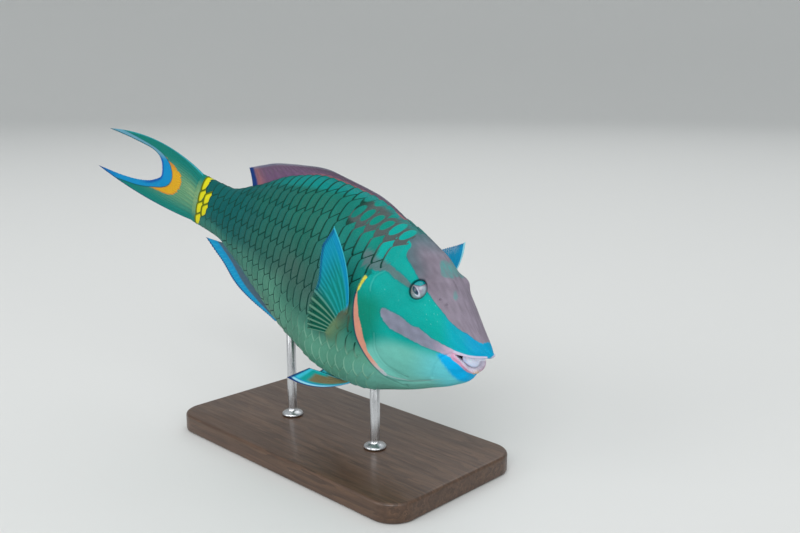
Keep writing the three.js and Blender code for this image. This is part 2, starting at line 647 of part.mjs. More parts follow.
const model = new THREE.Group();
const standPieces = [
  ["stand_base", standBase(), WOOD],
  ["stand_rod_front", solidOf(rodGeometry(frontRod, 0)), STEEL],
  ["stand_rod_rear", solidOf(rodGeometry(rearRod, 0)), STEEL],
];
const withRodHoles = (solid) => rodHoles.reduce((rest, hole) => rest.subtract(hole), solid);
const fishPieces = [
  ["head", withRodHoles(head), HEAD_SKIN],
  ["lower_jaw", lowerJaw, HEAD_SKIN],
  ["upper_tooth_plate", upperPlate, TOOTH],
  ["lower_tooth_plate", lowerPlate, TOOTH],
  ["gill_cover_right", gillCover(-1), HEAD_SKIN],
  ["gill_cover_left", gillCover(1), HEAD_SKIN],
  ["eye_right", eyeBall(-1, EYE.radius), EYE_GLOSS],
  ["eye_left", eyeBall(1, EYE.radius), EYE_GLOSS],
  ["trunk", withRodHoles(trunkPart), BODY_SKIN],
  ["tail_stem", stemPart, TAIL_SKIN],
  ["dorsal_fin", clearOfBody(midlineFin(DORSAL, DORSAL_RAYS, topAt, 1)), FIN_PURPLE],
  ["anal_fin", clearOfBody(midlineFin(ANAL, ANAL_RAYS, bottomAt, -1)), FIN_BLUE],
  ["caudal_fin", caudalFin(), FIN_GREEN],
  ["pectoral_fin_right", clearOfGills(clearOfBody(pectoralFin(-1, RIGHT_PECTORAL))), FIN_BLUE],
  ["pectoral_fin_left", clearOfGills(clearOfBody(pectoralFin(1, LEFT_PECTORAL))), FIN_BLUE],
  ["pelvic_fin_right", clearOfBody(pelvicFin(-1)), FIN_GREEN],
  ["pelvic_fin_left", clearOfBody(pelvicFin(1)), FIN_GREEN],
];
standPieces.forEach(([name, solid, material]) => model.add(meshOf(name, solid, material)));
fishPieces.forEach(([name, solid, material]) => fish.add(meshOf(name, solid, material)));
model.add(fish);

export default model;
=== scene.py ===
# The visual model of a male stoplight parrotfish on its display stand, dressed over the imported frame.
# Fish coordinates are shares of the standard length: distance back from the snout, left and up.
import math

import bpy
import numpy as np
from mathutils import Matrix, Vector


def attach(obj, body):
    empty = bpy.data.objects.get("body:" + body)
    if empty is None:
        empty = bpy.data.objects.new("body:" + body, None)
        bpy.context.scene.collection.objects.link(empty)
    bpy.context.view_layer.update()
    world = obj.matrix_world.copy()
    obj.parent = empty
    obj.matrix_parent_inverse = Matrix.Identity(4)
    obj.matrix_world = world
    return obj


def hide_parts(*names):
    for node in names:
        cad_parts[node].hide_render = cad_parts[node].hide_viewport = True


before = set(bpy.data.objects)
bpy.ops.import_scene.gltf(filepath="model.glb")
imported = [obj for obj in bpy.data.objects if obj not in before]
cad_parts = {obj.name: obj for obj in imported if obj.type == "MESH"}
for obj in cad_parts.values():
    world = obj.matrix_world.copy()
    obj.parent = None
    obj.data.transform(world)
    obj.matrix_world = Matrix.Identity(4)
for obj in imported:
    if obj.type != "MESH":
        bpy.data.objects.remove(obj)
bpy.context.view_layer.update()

# The fish's size and place, as in the solids
LENGTH = 0.31
NOSE_DOWN, TIPPED = 14, -8  # degrees
SNOUT_PLACE = Vector((0.136, 0.004, 0.094))
FISH = (Matrix.Translation(SNOUT_PLACE) @ Matrix.Rotation(math.radians(NOSE_DOWN), 4, "Y")
        @ Matrix.Rotation(math.radians(TIPPED), 4, "X"))
FISH_TURN = np.array(FISH.to_3x3())
BEND_START = 0.5
BEND_RADIUS = 2.08 / LENGTH
MM = 0.001
SIDES = {-1: "right", 1: "left"}  # the fish's own right and left

# Body stations: distance back, top, bottom, half width, height of the widest line in the depth
STATIONS = [
    (0.0, 0.025, 0.003, 0.011, 0.5), (0.02, 0.041, -0.038, 0.029, 0.5), (0.06, 0.074, -0.076, 0.046, 0.5),
    (0.12, 0.123, -0.114, 0.064, 0.48), (0.2, 0.167, -0.159, 0.079, 0.47), (0.3, 0.192, -0.201, 0.09, 0.48),
    (0.42, 0.211, -0.215, 0.091, 0.5), (0.55, 0.207, -0.193, 0.081, 0.52), (0.68, 0.17, -0.148, 0.064, 0.52),
    (0.8, 0.105, -0.1, 0.045, 0.52), (0.9, 0.066, -0.07, 0.031, 0.5), (0.97, 0.065, -0.068, 0.02, 0.5),
    (1.0, 0.066, -0.068, 0.0135, 0.5),
]
UPPER_ROUNDNESS = 1.04
LOWER_ROUNDNESS = 0.92
SNOUT_CAP = 0.0055
STEM_END = 0.03
STEM_END_CLOSING = 0.85  # how much narrower the stem's last ring is
STEM_END_DROP = 0.04
DEGREE = 0.0028  # how far one degree round the head reaches, as a share
# How far the front of each lip is drawn back, and where
LIP_PULLS = (dict(back=0.006, height=0.008, spread=0.012, reach=0.03),
             dict(back=0.013, height=-0.03, spread=0.018, reach=0.055))

# The line of the mouth from its corner to the front
MOUTH_CORNER = (0.06, 0.001)
UPPER_LIP_LINE = [(0.034, 0.006), (0.02, 0.0085), (0.005, 0.0125), (-0.012, 0.018)]
LOWER_LIP_LINE = [(0.04, -0.008), (0.024, -0.017), (0.013, -0.026), (-0.012, -0.034)]
UPPER_LIP = dict(line=UPPER_LIP_LINE, top=(0.056, 0.0045), front=(-0.0035, 0.75))
LOWER_LIP = dict(line=LOWER_LIP_LINE, top=(0.054, -0.004), front=(0.0133, math.pi))

EYE = dict(back=0.178, turn=54.3, ahead=5.5 * MM, up=6.4 * MM, out=3.7 * MM, sunk=1.75 * MM)
SOCKET_SQUEEZE = 0.86
EYE_REACH = 8 * MM  # how far from an eye's middle, along its axis, its socket reaches
LIP_REACH = 0.12  # how far back the lips reach
NOSTRILS = [(0.128, 46, 1.3 * MM), (0.112, 44, 1.1 * MM)]
GILL_REAR = [(0.296, 0.075), (0.317, 0.03), (0.306, -0.013), (0.286, -0.057), (0.261, -0.084),
             (0.23, -0.106), (0.199, -0.12), (0.157, -0.124)]
GILL_FRONT = [(0.15, -0.108), (0.19, -0.096), (0.225, -0.066), (0.246, -0.02), (0.25, 0.03),
              (0.238, 0.07), (0.262, 0.09)]


# Curves, distances and noise
def smooth(x, low, high):
    t = np.clip((x - low) / (high - low), 0, 1)
    return t * t * (3 - 2 * t)


def fade(x, low, high):
    return 1 - smooth(x, low, high)


def bell(x, centre, width):
    return np.exp(-((x - centre) / width) ** 2)


def through_points(table, column=1):
    xs = np.array([row[0] for row in table], float)
    ys = np.array([row[column] for row in table], float)
    steps = np.diff(xs)
    slopes = np.diff(ys) / steps
    tangents = np.concatenate([slopes[:1], np.zeros(len(xs) - 2), slopes[-1:]])
    for i in range(1, len(xs) - 1):
        if slopes[i - 1] * slopes[i] > 0:
            before = 2 * steps[i] + steps[i - 1]
            after = steps[i] + 2 * steps[i - 1]
            tangents[i] = (before + after) / (before / slopes[i - 1] + after / slopes[i])

    def at(x):
        x = np.clip(x, xs[0], xs[-1])
        i = np.clip(np.searchsorted(xs, x, side="right") - 1, 0, len(steps) - 1)
        u = (x - xs[i]) / steps[i]
        return (ys[i] * (1 + 2 * u) * (1 - u) ** 2 + ys[i + 1] * u ** 2 * (3 - 2 * u)
                + steps[i] * (tangents[i] * u * (1 - u) ** 2 - tangents[i + 1] * u ** 2 * (1 - u)))
    return at


def rounded(points, closed=False, times=2):
    for _ in range(times):
        ahead = points[1:] + points[:1] if closed else points[1:]
        cut = [(a[0] * w + b[0] * (1 - w), a[1] * w + b[1] * (1 - w))
               for a, b in zip(points, ahead) for w in (0.75, 0.25)]
        points = cut if closed else [points[0]] + cut[1:-1] + [points[-1]]
    return points


def line_distance(x, y, points, closed=False):
    best = np.full(np.shape(x), np.inf)
    for (x0, y0), (x1, y1) in zip(points, points[1:] + (points[:1] if closed else [])):
        dx, dy = x1 - x0, y1 - y0
        u = np.clip(((x - x0) * dx + (y - y0) * dy) / (dx * dx + dy * dy), 0, 1)
        best = np.minimum(best, np.hypot(x - x0 - u * dx, y - y0 - u * dy))
    return best


def inside(x, y, points):
    odd = np.zeros(np.shape(x), bool)
    for (x0, y0), (x1, y1) in zip(points, points[1:] + points[:1]):
        crosses = (y0 > y) != (y1 > y)
        odd ^= crosses & (x < (x1 - x0) * (y - y0) / (y1 - y0 + 1e-12) + x0)
    return odd


def depth_in(x, y, points):
    return line_distance(x, y, points, True) * np.where(inside(x, y, points), 1, -1)


def waves(x, y, size, seed):
    """Soft noise between about -1 and 1, from a few crossing waves."""
    random = np.random.default_rng(seed)
    total = np.zeros(np.broadcast(x, y).shape)
    for _ in range(9):
        angle, phase = random.uniform(0, 2 * np.pi, 2)
        pitch = size * random.uniform(0.6, 1.8)
        total += np.sin(2 * np.pi * (x * np.cos(angle) + y * np.sin(angle)) / pitch + phase)
    return total / 4


def linear(red, green, blue):
    c = np.array([red, green, blue]) / 255
    return np.where(c <= 0.04045, c / 12.92, ((c + 0.055) / 1.055) ** 2.4)


def blend(under, over, share):
    return under + (over - under) * np.clip(share, 0, 1)[..., None]


def layered(tint, *layers):
    """A colour with others laid over it in turn, each by its share."""
    for over, share in layers:
        tint = blend(tint, over, share)
    return tint


# The body's form
top_at, bottom_at, half_at, widest_at = [through_points(STATIONS, c) for c in (1, 2, 3, 4)]


def place(back, left, up):
    """Points in the fish's own frame, in metres, from shares."""
    back, left, up = np.broadcast_arrays(np.asarray(back, float), left, up)
    past = np.maximum(0, back - BEND_START)
    turn = -past / BEND_RADIUS
    x = np.where(past > 0, -BEND_START + BEND_RADIUS * np.sin(turn), -back)
    y = -BEND_RADIUS * (1 - np.cos(turn))
    return np.stack([x + left * np.sin(turn), y + left * np.cos(turn), up], -1) * LENGTH


def section(back, angle):
    top, bottom = top_at(back), bottom_at(back)
    middle = bottom + (top - bottom) * widest_at(back)
    rise, side = np.cos(angle), np.sin(angle)
    power = np.where(rise > 0, UPPER_ROUNDNESS, LOWER_ROUNDNESS)
    left = half_at(back) * np.sign(side) * np.abs(side) ** power
    up = middle + np.where(rise > 0, top - middle, middle - bottom) * rise
    cap = np.sqrt(np.clip(1 - (np.minimum(back, 0) / SNOUT_CAP) ** 2, 0, 1))
    end = smooth(back, 1.0, 1.0 + STEM_END)
    left = left * cap * (1 - STEM_END_CLOSING * end)
    return left, middle + (up - middle) * cap * (1 - STEM_END_DROP * end)


def bare_skin(back, angle):
    left, up = section(back, angle)
    pull = sum(lip["back"] * bell(up, lip["height"], lip["spread"])
               * smooth(lip["reach"] - back, 0, lip["reach"]) for lip in LIP_PULLS)
    return place(back + pull, left, up)


def unit(v):
    return v / np.maximum(np.linalg.norm(v, axis=-1, keepdims=True), 1e-12)


def skin_normal(back, angle):
    step = 0.003
    along = bare_skin(back + step, angle) - bare_skin(back - step, angle)
    around = bare_skin(back, angle + step) - bare_skin(back, angle - step)
    return -unit(np.cross(along, around))


def angle_at_height(back, up, side):
    angles = np.linspace(0, np.pi, 721)
    heights = section(back, angles)[1]
    return side * np.interp(-up, -heights, angles)


def lip_curve(lip):
    """Points along the middle of a lip, from the right corner round the front to the left one."""
    halves = []
    for side in SIDES:
        marks = [lip["top"], *lip["line"][:3]]
        halves.append([bare_skin(b, angle_at_height(b, u, side)) for b, u in marks])
    marks = np.array(halves[0] + [bare_skin(*lip["front"])] + halves[1][::-1])
    steps = np.linspace(0, len(marks) - 1, 160)
    return np.stack([through_points(list(enumerate(marks[:, c])))(steps) for c in range(3)], -1)


UPPER_CURVE, LOWER_CURVE = lip_curve(UPPER_LIP), lip_curve(LOWER_LIP)


def distance_to_curve(points, curve):
    flat = points.reshape(-1, 3)
    best = np.full(len(flat), np.inf)
    for spot in curve:
        best = np.minimum(best, ((flat - spot) ** 2).sum(-1))
    return np.sqrt(best).reshape(points.shape[:-1])


def eye_frame(side):
    angle = side * math.radians(EYE["turn"])
    at = bare_skin(EYE["back"], angle)
    out = skin_normal(EYE["back"], angle)
    ahead = bare_skin(EYE["back"] - 0.01, angle) - at
    ahead = unit(ahead - out * (ahead @ out))
    up = np.cross(out, ahead)
    return at, out, ahead, up * np.sign(up[2])


def eye_distance(points):
    """Distance over the skin from the nearer eye's middle, or 1 away from both."""
    best = np.full(points.shape[:-1], 1.0)
    for side in SIDES:
        at, out, ahead, up = eye_frame(side)
        away = points - at
        distance = np.hypot(away @ ahead, away @ up * SOCKET_SQUEEZE)
        best = np.minimum(best, np.where(np.abs(away @ out) < EYE_REACH, distance, 1.0))
    return best


GILL_OUTLINE = rounded(GILL_REAR, times=1) + GILL_FRONT
GILL_EDGE = rounded(GILL_REAR)
PREOPERCLE = rounded([(0.266, 0.101), (0.281, 0.08), (0.283, 0.055), (0.27, 0.01), (0.252, -0.03),
                      (0.236, -0.055), (0.229, -0.07), (0.213, -0.087), (0.189, -0.096), (0.15, -0.098)])
JAW_FOLD = rounded([(0.062, 0.0), (0.078, -0.014), (0.088, -0.035), (0.094, -0.07)])
THROAT_FOLD = rounded([(0.215, -0.118), (0.17, -0.121), (0.13, -0.1), (0.1, -0.083)])
gill_front_at = through_points([(up, back) for back, up in GILL_FRONT[:5]])
PECTORAL_FOOT_LINE = [(0.326, -0.026), (0.358, -0.086)]
BROW_LINE = [(0.166, 42 * DEGREE), (0.13, 21 * DEGREE)]
# Folds and swellings of the head: their line, their rise in millimetres and their width
FORMS = ((PREOPERCLE, -0.35, 0.003), (JAW_FOLD, -0.55, 0.0022), (THROAT_FOLD, -0.5, 0.003),
         (PECTORAL_FOOT_LINE, 2.6, 0.017))


def height_of(lip_line, back):
    """Height of the mouth's line from its corner to the front, at given distances back."""
    marks = [MOUTH_CORNER, *lip_line]
    return np.interp(-back, [-mark[0] for mark in marks], [mark[1] for mark in marks])


def mouth_depth(back, up):
    """How far a point lies inside the mouth's opening, as a share, seen from the side."""
    upper, lower = height_of(UPPER_LIP_LINE, back), height_of(LOWER_LIP_LINE, back)
    return np.where(back < MOUTH_CORNER[0], np.minimum(upper - up, up - lower), -1.0)


def relief(back, angle):
    """How far the skin stands off the plain body, in metres."""
    turn = np.abs(np.degrees(angle))
    up = section(back, angle)[1]
    depth = depth_in(back, up, GILL_OUTLINE)
    edge = line_distance(back, up, GILL_EDGE)
    cover = smooth((back - gill_front_at(up)) / 0.06, 0, 1) * smooth(depth, -0.0008, 0.0024)
    height = 1.5 * cover - 0.7 * bell(edge, 0.003, 0.003) * (depth < 0)
    for line, rise, width in FORMS:
        height = height + rise * bell(line_distance(back, up, line), 0, width)
    height = height + 2.7 * bell(line_distance(back, turn * DEGREE, BROW_LINE), 0, 0.014)
    height = height - 0.5 * bell(back, 0.1, 0.03) * bell(turn, 60, 14)
    height = height + 0.16 * waves(back, turn * DEGREE, 0.06, 3) * smooth(0.4 - back, 0, 0.1)
    return height * MM


def skin(back, angle):
    """Points of the finished skin, and how near they are to the eyes, lips and mouth."""
    bare = bare_skin(back, angle)
    left, up = section(back, angle)
    eye = eye_distance(bare)
    height = relief(back, angle)
    height = height + MM * (0.8 * bell(eye, 6.5 * MM, 0.8 * MM) - 2.2 * fade(eye, 4.9 * MM, 5.8 * MM))
    for spot, turn, radius in NOSTRILS:
        for side in SIDES:
            away = np.linalg.norm(bare - bare_skin(spot, side * math.radians(turn)), axis=-1)
            height = height + MM * (0.35 * bell(away, radius, 0.5 * MM) - 0.9 * bell(away, 0, 0.6 * MM))
    upper, lower = np.ones((2, *eye.shape))
    near = back < LIP_REACH
    upper[near] = distance_to_curve(bare[near], UPPER_CURVE)
    lower[near] = distance_to_curve(bare[near], LOWER_CURVE)
    front = bell(left, 0, 0.02)
    height = height + MM * 0.75 * bell(upper, 0, 1.0 * MM)
    height = height + MM * (1.1 + 0.7 * front) * bell(lower, 0, 1.6 * MM)
    points = bare + skin_normal(back, angle) * height[..., None]
    mouth = mouth_depth(back, up)
    pull = 0.94 * smooth(mouth, 0.0005, 0.0065)
    inner = place(np.minimum(back + 0.035, 0.075), left * 0.45, up * 0.5 - 0.004)
    points = points + (inner - points) * pull[..., None]
    return points, dict(eye=eye, upper=upper, lower=lower, mouth=mouth)


# Colours of the skin, as red, green and blue of the screen
FLANK = linear(14, 106, 94)
FLANK_FRONT = linear(14, 122, 112)
STEM = linear(4, 86, 86)
BELLY = linear(88, 150, 128)
FLANK_BROWN = linear(62, 92, 86)
BACK_ROW = linear(0, 124, 120)
LINE_GREEN = linear(0, 60, 50)
LINE_BELLY = linear(128, 182, 158)
NAPE_BROWN = linear(76, 86, 86)
NAPE_GREEN = linear(0, 128, 114)
TEAL = linear(0, 154, 146)
CHEEK_TEAL = linear(0, 158, 150)
SNOUT_TEAL = linear(0, 158, 176)
SNOUT_BLUE = linear(0, 150, 192)
PATCH_BLUE = linear(0, 168, 226)
OPERCLE_GREEN = linear(0, 124, 104)
CHEEK_PALE = linear(104, 180, 168)
CHIN_CYAN = linear(98, 196, 206)
THROAT = linear(112, 182, 170)
MAUVE = linear(134, 124, 138)
NAPE_GREY = linear(76, 104, 112)
TONGUE = linear(88, 112, 114)
BAND = linear(126, 128, 146)
BAND_PINK = linear(200, 172, 196)
SALMON = linear(202, 138, 118)
SALMON_PALE = linear(178, 190, 196)
YELLOW = linear(228, 216, 84)
NAVY = linear(0, 40, 90)
LIP_UPPER = linear(196, 186, 208)
LIP_LOWER = linear(212, 158, 188)
LIP_WHITE = linear(228, 220, 236)
LIP_CREAM = linear(226, 192, 136)
BLOTCH = linear(212, 204, 24)
BLOTCH_LINE = linear(92, 104, 0)
OLIVE = linear(98, 126, 92)
OLIVE_DUSK = linear(78, 84, 70)
SOCKET = linear(0, 44, 56)
# Dark colour of the painted shade deep inside the mouth's opening
MOUTH_SHADE = linear(20, 40, 58)
PALE_DOT = linear(150, 226, 216)
TAIL_GREEN = linear(102, 148, 108)
TAIL_TEAL = linear(4, 116, 106)
TAIL_STREAK = linear(140, 170, 120)

# Outlines of the markings: distance back and degrees round from the back
FOREHEAD = [(0.021, -20), (0.0195, 5), (0.02, 20), (0.024, 31), (0.03, 37), (0.047, 43), (0.067, 52),
            (0.089, 55), (0.11, 53.5), (0.128, 53), (0.142, 51.5), (0.158, 50), (0.178, 48), (0.194, 46),
            (0.216, 42), (0.24, 39), (0.246, 34), (0.244, 28), (0.254, 24), (0.277, 23.5), (0.293, 24),
            (0.308, 19), (0.317, 14), (0.322, 10), (0.326, 4), (0.327, -20)]
# Two patches on the forehead, the same on both sides of the ridge
FAR_PATCH = [(0.178, 14.7), (0.1766, 7.5), (0.1665, 0), (0.1515, -4.5), (0.1451, -8), (0.14, -6),
             (0.135, 8.7), (0.1394, 20), (0.151, 28), (0.1644, 23)]
SMALL_PATCH = [(0.117, 25), (0.1144, 21), (0.105, 23), (0.102, 29), (0.109, 32)]
TONGUE_OUTLINE = [(0.325, 61), (0.338, 57), (0.33, 52), (0.312, 50.5), (0.302, 52.5), (0.277, 51.5),
                  (0.261, 51.5), (0.238, 52), (0.219, 53), (0.203, 54.5), (0.19, 55), (0.19, 58),
                  (0.202, 58), (0.214, 58.5), (0.228, 57.5), (0.241, 58), (0.259, 56), (0.27, 57),
                  (0.284, 60), (0.304, 61), (0.33, 63)]
NAPE_PATCH = [(0.43, 33), (0.357, 33), (0.307, 35), (0.312, 40), (0.366, 41), (0.405, 44), (0.432, 39)]
BAND_OUTLINE = [(0.239, 79.5), (0.212, 79.5), (0.182, 80), (0.157, 82.5), (0.142, 81), (0.126, 83),
                (0.106, 84), (0.08, 84), (0.058, 82), (0.04, 84), (0.052, 96), (0.071, 96), (0.092, 95),
                (0.109, 96), (0.126, 95), (0.142, 94), (0.164, 93), (0.182, 92), (0.202, 91.5),
                (0.224, 88), (0.241, 84)]
BLUE_PATCH = [(0.092, 97), (0.063, 94), (0.03, 108), (0.008, 150), (0.01, 181), (0.036, 181),
              (0.036, 168), (0.046, 140), (0.065, 115), (0.083, 104)]
SPOT_OUTLINE = [(0.3, 67), (0.31, 67), (0.314, 72), (0.316, 79), (0.31, 78), (0.303, 73)]
SALMON_OUTLINE = [(0.314, 76), (0.322, 84), (0.31, 94), (0.294, 102), (0.285, 108), (0.268, 114),
                  (0.25, 120), (0.236, 126), (0.222, 131), (0.2, 137), (0.19, 134), (0.209, 128),
                  (0.224, 122), (0.241, 115.5), (0.257, 107.5), (0.268, 100), (0.284, 92), (0.295, 86),
                  (0.308, 79)]
COVER_LINE = [(0.205, 131), (0.19, 135.5), (0.169, 140), (0.139, 145), (0.105, 144), (0.068, 138)]
CHEEK_ARCS = [rounded(arc) for arc in (
    [(0.24, -0.035), (0.236, -0.051), (0.231, -0.068), (0.213, -0.087), (0.189, -0.095), (0.15, -0.094)],
    [(0.268, 0.095), (0.283, 0.079), (0.284, 0.055), (0.28, 0.045)])]
DOTS = [(0.146, 55), (0.13, 54.5), (0.139, 67), (0.125, 62), (0.134, 71), (0.208, 70), (0.249, 68),
        (0.122, 72), (0.118, 60), (0.112, 66), (0.15, 61)]
# Where the cheek's teal ends below: distance back and degrees round
cheek_line_at = through_points([(0.0, 95), (0.15, 96), (0.2, 97), (0.24, 101), (0.27, 112), (0.3, 125)])
HEAD_OUTLINE = [(0.33, 0.3), *GILL_EDGE, (0.1, -0.14), (1.2, -0.4), (1.2, 0.3)]
# The yellow blotch at the root of the tail: where its columns of scales end, and its rows in the
# rear column and in the front one
BLOTCH_BACK = (0.95, 0.996)
BLOTCH_TURN = (14, 152)
BLOTCH_TURN_FRONT = (56, 126)
NEAR_KEYS = ("eye", "upper", "lower", "mouth")
FAR_FROM_ALL = dict(eye=1.0, upper=1.0, lower=1.0, mouth=-1.0)


def flat(outline, times=2):
    return rounded([(back, turn * DEGREE) for back, turn in outline], True, times)


def skin_tint(back, angle, near=None):
    """The skin's colour, and the colour of a scale's rim there. Scales give nothing as near: they keep
    away from the eyes and the mouth, and leave the forehead's colour out."""
    degrees = np.degrees(angle)
    turn = np.abs(degrees)
    left, up = section(back, angle)
    fold = turn * DEGREE
    ripple = 0.0009 * waves(back, fold, 0.03, 5) + 0.0006 * waves(back, fold, 0.008, 6)
    patchy, fine = waves(back, fold, 0.09, 11), waves(back, fold, 0.02, 12)

    def within(outline, soft=0.001, across=fold):
        return smooth(depth_in(back, across, outline) + ripple, -soft, soft)

    def edge_line(outline, at, width):
        return bell(depth_in(back, fold, outline) + ripple, at, width)

    # Flank and belly
    brown = bell(back, 0.47, 0.1) * bell(turn, 96, 24) + 0.7 * bell(back, 0.6, 0.12) * bell(turn, 104, 22)
    row = 12 + 21 * smooth(back, 0.35, 0.6)
    tint = layered(
        FLANK,
        (FLANK_FRONT, fade(back, 0.36, 0.52) * fade(turn, 80, 100)),
        (STEM, smooth(back + 0.05 * patchy, 0.5, 0.8) * (1 - 0.6 * smooth(turn, 105, 135))),
        (FLANK_BROWN, np.minimum(brown, 1) * (0.75 + 0.25 * patchy)),
        (BELLY, smooth(turn + 6 * patchy, 100, 132) * (1 - 0.75 * smooth(back, 0.55, 0.85))),
        (THROAT, 0.6 * smooth(turn, 118, 140) * fade(back, 0.22, 0.36)),
        (BACK_ROW, fade(turn, row - 2, row + 2) * fade(back, 0.6, 0.8)))
    rim = blend(LINE_GREEN, LINE_BELLY, smooth(turn, 112, 126) * fade(back, 0.4, 0.56))

    # Nape scales, green on brown
    nape = smooth(0.42 - back, 0, 0.04) * fade(turn, 44, 54)
    ridge_row = fade(turn, 10, 14)
    tint = blend(tint, NAPE_GREEN, 0.9 * nape * (1 - ridge_row))
    rim = blend(rim, blend(NAPE_BROWN, BACK_ROW, 0.7 * ridge_row),
                np.maximum(nape, within(flat(NAPE_PATCH), 0.004)))

    # Head
    teal = layered(
        TEAL,
        (CHEEK_TEAL, bell(back, 0.14, 0.06) * bell(turn, 66, 15)),
        (OPERCLE_GREEN, smooth(back, 0.2, 0.27) * smooth(turn, 66, 84)),
        (SNOUT_TEAL, fade(back + 0.001 * (turn - 70), 0.06, 0.11)),
        (SNOUT_BLUE, fade(back + 0.001 * (turn - 70) + 0.006 * fine, 0.01, 0.06)))
    pale = layered(
        CHEEK_PALE,
        (CHIN_CYAN, fade(back + 0.004 * patchy, 0.06, 0.16)),
        (THROAT, smooth(turn, 128, 150) * smooth(back, 0.05, 0.12)))
    cheek = cheek_line_at(back)
    low = smooth(turn + 2 * patchy, cheek - 3, cheek + 13)
    head = fade(depth_in(back, up, HEAD_OUTLINE), -0.0005, 0.0005)
    tint = blend(tint, blend(teal, pale, low), head)

    # Forehead and nape
    brow = depth_in(back, fold, flat(FOREHEAD, 1)) + ripple
    mauve = blend(MAUVE, NAPE_GREY, smooth(back + 0.02 * patchy, 0.17, 0.26))
    mauve = mauve * (1 + 0.06 * fine[..., None])
    signed = degrees * DEGREE
    for patch, share in ((FAR_PATCH, 0.6), (SMALL_PATCH, 0.5)):
        outline = flat(patch)
        shown = within(outline, 0.003, -signed) + within(outline, 0.003, signed)
        mauve = blend(mauve, TEAL, share * np.minimum(shown, 1) * (0.75 + 0.25 * fine))
    mauve = mauve * (1 - 0.28 * bell(back, 0.185, 0.05) * bell(turn, 38, 16))[..., None]
    tint = blend(tint, NAVY, 0.45 * bell(brow, -0.0012, 0.0013) * (back < 0.24) * (back > 0.034))
    if near:
        tint = blend(tint, mauve, smooth(brow, -0.001, 0.001))

    # Markings of the side of the head
    tongue, band_outline = flat(TONGUE_OUTLINE), flat(BAND_OUTLINE)
    band = blend(BAND, BAND_PINK, fade(back + 0.008 * fine, 0.05, 0.11)) * (1 + 0.07 * fine[..., None])
    patch = depth_in(back, fold, flat(BLUE_PATCH)) + 0.0022 * waves(back, fold, 0.005, 14)
    tint = layered(
        tint,
        (NAVY, 0.3 * edge_line(tongue, -0.001, 0.0013) * head),
        (TONGUE, 0.95 * within(tongue)),
        (NAVY, 0.3 * edge_line(band_outline, -0.0013, 0.0014) * (back > 0.07)),
        (band, within(band_outline)),
        (PATCH_BLUE, smooth(patch, -0.005, 0.005)))
    for arc in CHEEK_ARCS:
        away = line_distance(back, up, arc)
        tint = layered(
            tint,
            (PALE_DOT, 0.1 * bell(away, 0, 0.0016)),
            (STEM, 0.14 * bell(away, 0.0036, 0.002)))
    for spot, at in DOTS:
        away = np.hypot(back - spot, (turn - at) * DEGREE)
        tint = blend(tint, PALE_DOT, 0.45 * bell(away, 0, 0.0008 + 0.02 * (at % 3) * MM))

    # The gill cover's edge and the foot of the pectoral fin
    covered = depth_in(back, up, GILL_OUTLINE)
    edge = line_distance(back, up, GILL_EDGE) * np.where(covered > 0, 1, -1)
    line = smooth(edge, -0.0065, -0.003) * fade(edge, 0.0035, 0.005)
    salmon = blend(SALMON, SALMON_PALE, smooth(turn, 118, 134))
    thin = line_distance(back, fold, [(b, t * DEGREE) for b, t in COVER_LINE])
    foot = line_distance(back, up, PECTORAL_FOOT_LINE)
    foot_tint = blend(OLIVE, OLIVE_DUSK, 0.9 * bell(up, -0.03, 0.02))
    tint = layered(
        tint,
        (NAVY, 0.85 * line * (up < 0.06) * smooth(back, 0.16, 0.25)),
        (salmon, within(flat(SALMON_OUTLINE), 0.0008) * smooth(edge, 0.0028, 0.0042)),
        (SALMON_PALE, 0.75 * bell(thin, 0, 0.0018) * smooth(back, 0.06, 0.12)),
        (YELLOW, within(flat(SPOT_OUTLINE), 0.0015)),
        (foot_tint, 0.9 * bell(foot, 0, 0.019) * smooth(-covered, 0.001, 0.004)))
    rim = blend(rim, foot_tint, bell(foot, 0, 0.024))

    # Root of the tail
    streaks = 1 + waves(up, back * 0.1, 0.004, 15)
    root = layered(
        TAIL_GREEN,
        (TAIL_STREAK, 0.5 * bell(up, 0.0, 0.02) * streaks),
        (TAIL_TEAL, smooth(np.abs(up), 0.028, 0.058)))
    tint = blend(tint, root, smooth(back, 0.987, 0.994))

    # Eye sockets and mouth
    eye, upper, lower, mouth = ((near or FAR_FROM_ALL)[key] for key in NEAR_KEYS)
    lip = blend(LIP_LOWER, LIP_CREAM, 0.8 * bell(left, 0, 0.012))
    tint = layered(
        tint,
        (SOCKET, 0.9 * bell(eye, 5.55 * MM, 0.55 * MM) + 0.9 * (eye < 5.3 * MM)),
        (LIP_UPPER, smooth(1.3 * MM - upper, 0, 0.4 * MM)),
        (lip, smooth(2.9 * MM - lower, 0, 0.6 * MM)),
        (LIP_WHITE, smooth(mouth, 0.0004, 0.0012) * smooth(2.6 * MM - lower, 0, MM)),
        # Painted shade: the mouth's opening is painted dark deep inside
        (MOUTH_SHADE, smooth(mouth, 0.0042, 0.006)))
    return tint * (1 + 0.05 * patchy[..., None] + 0.03 * fine[..., None]), rim


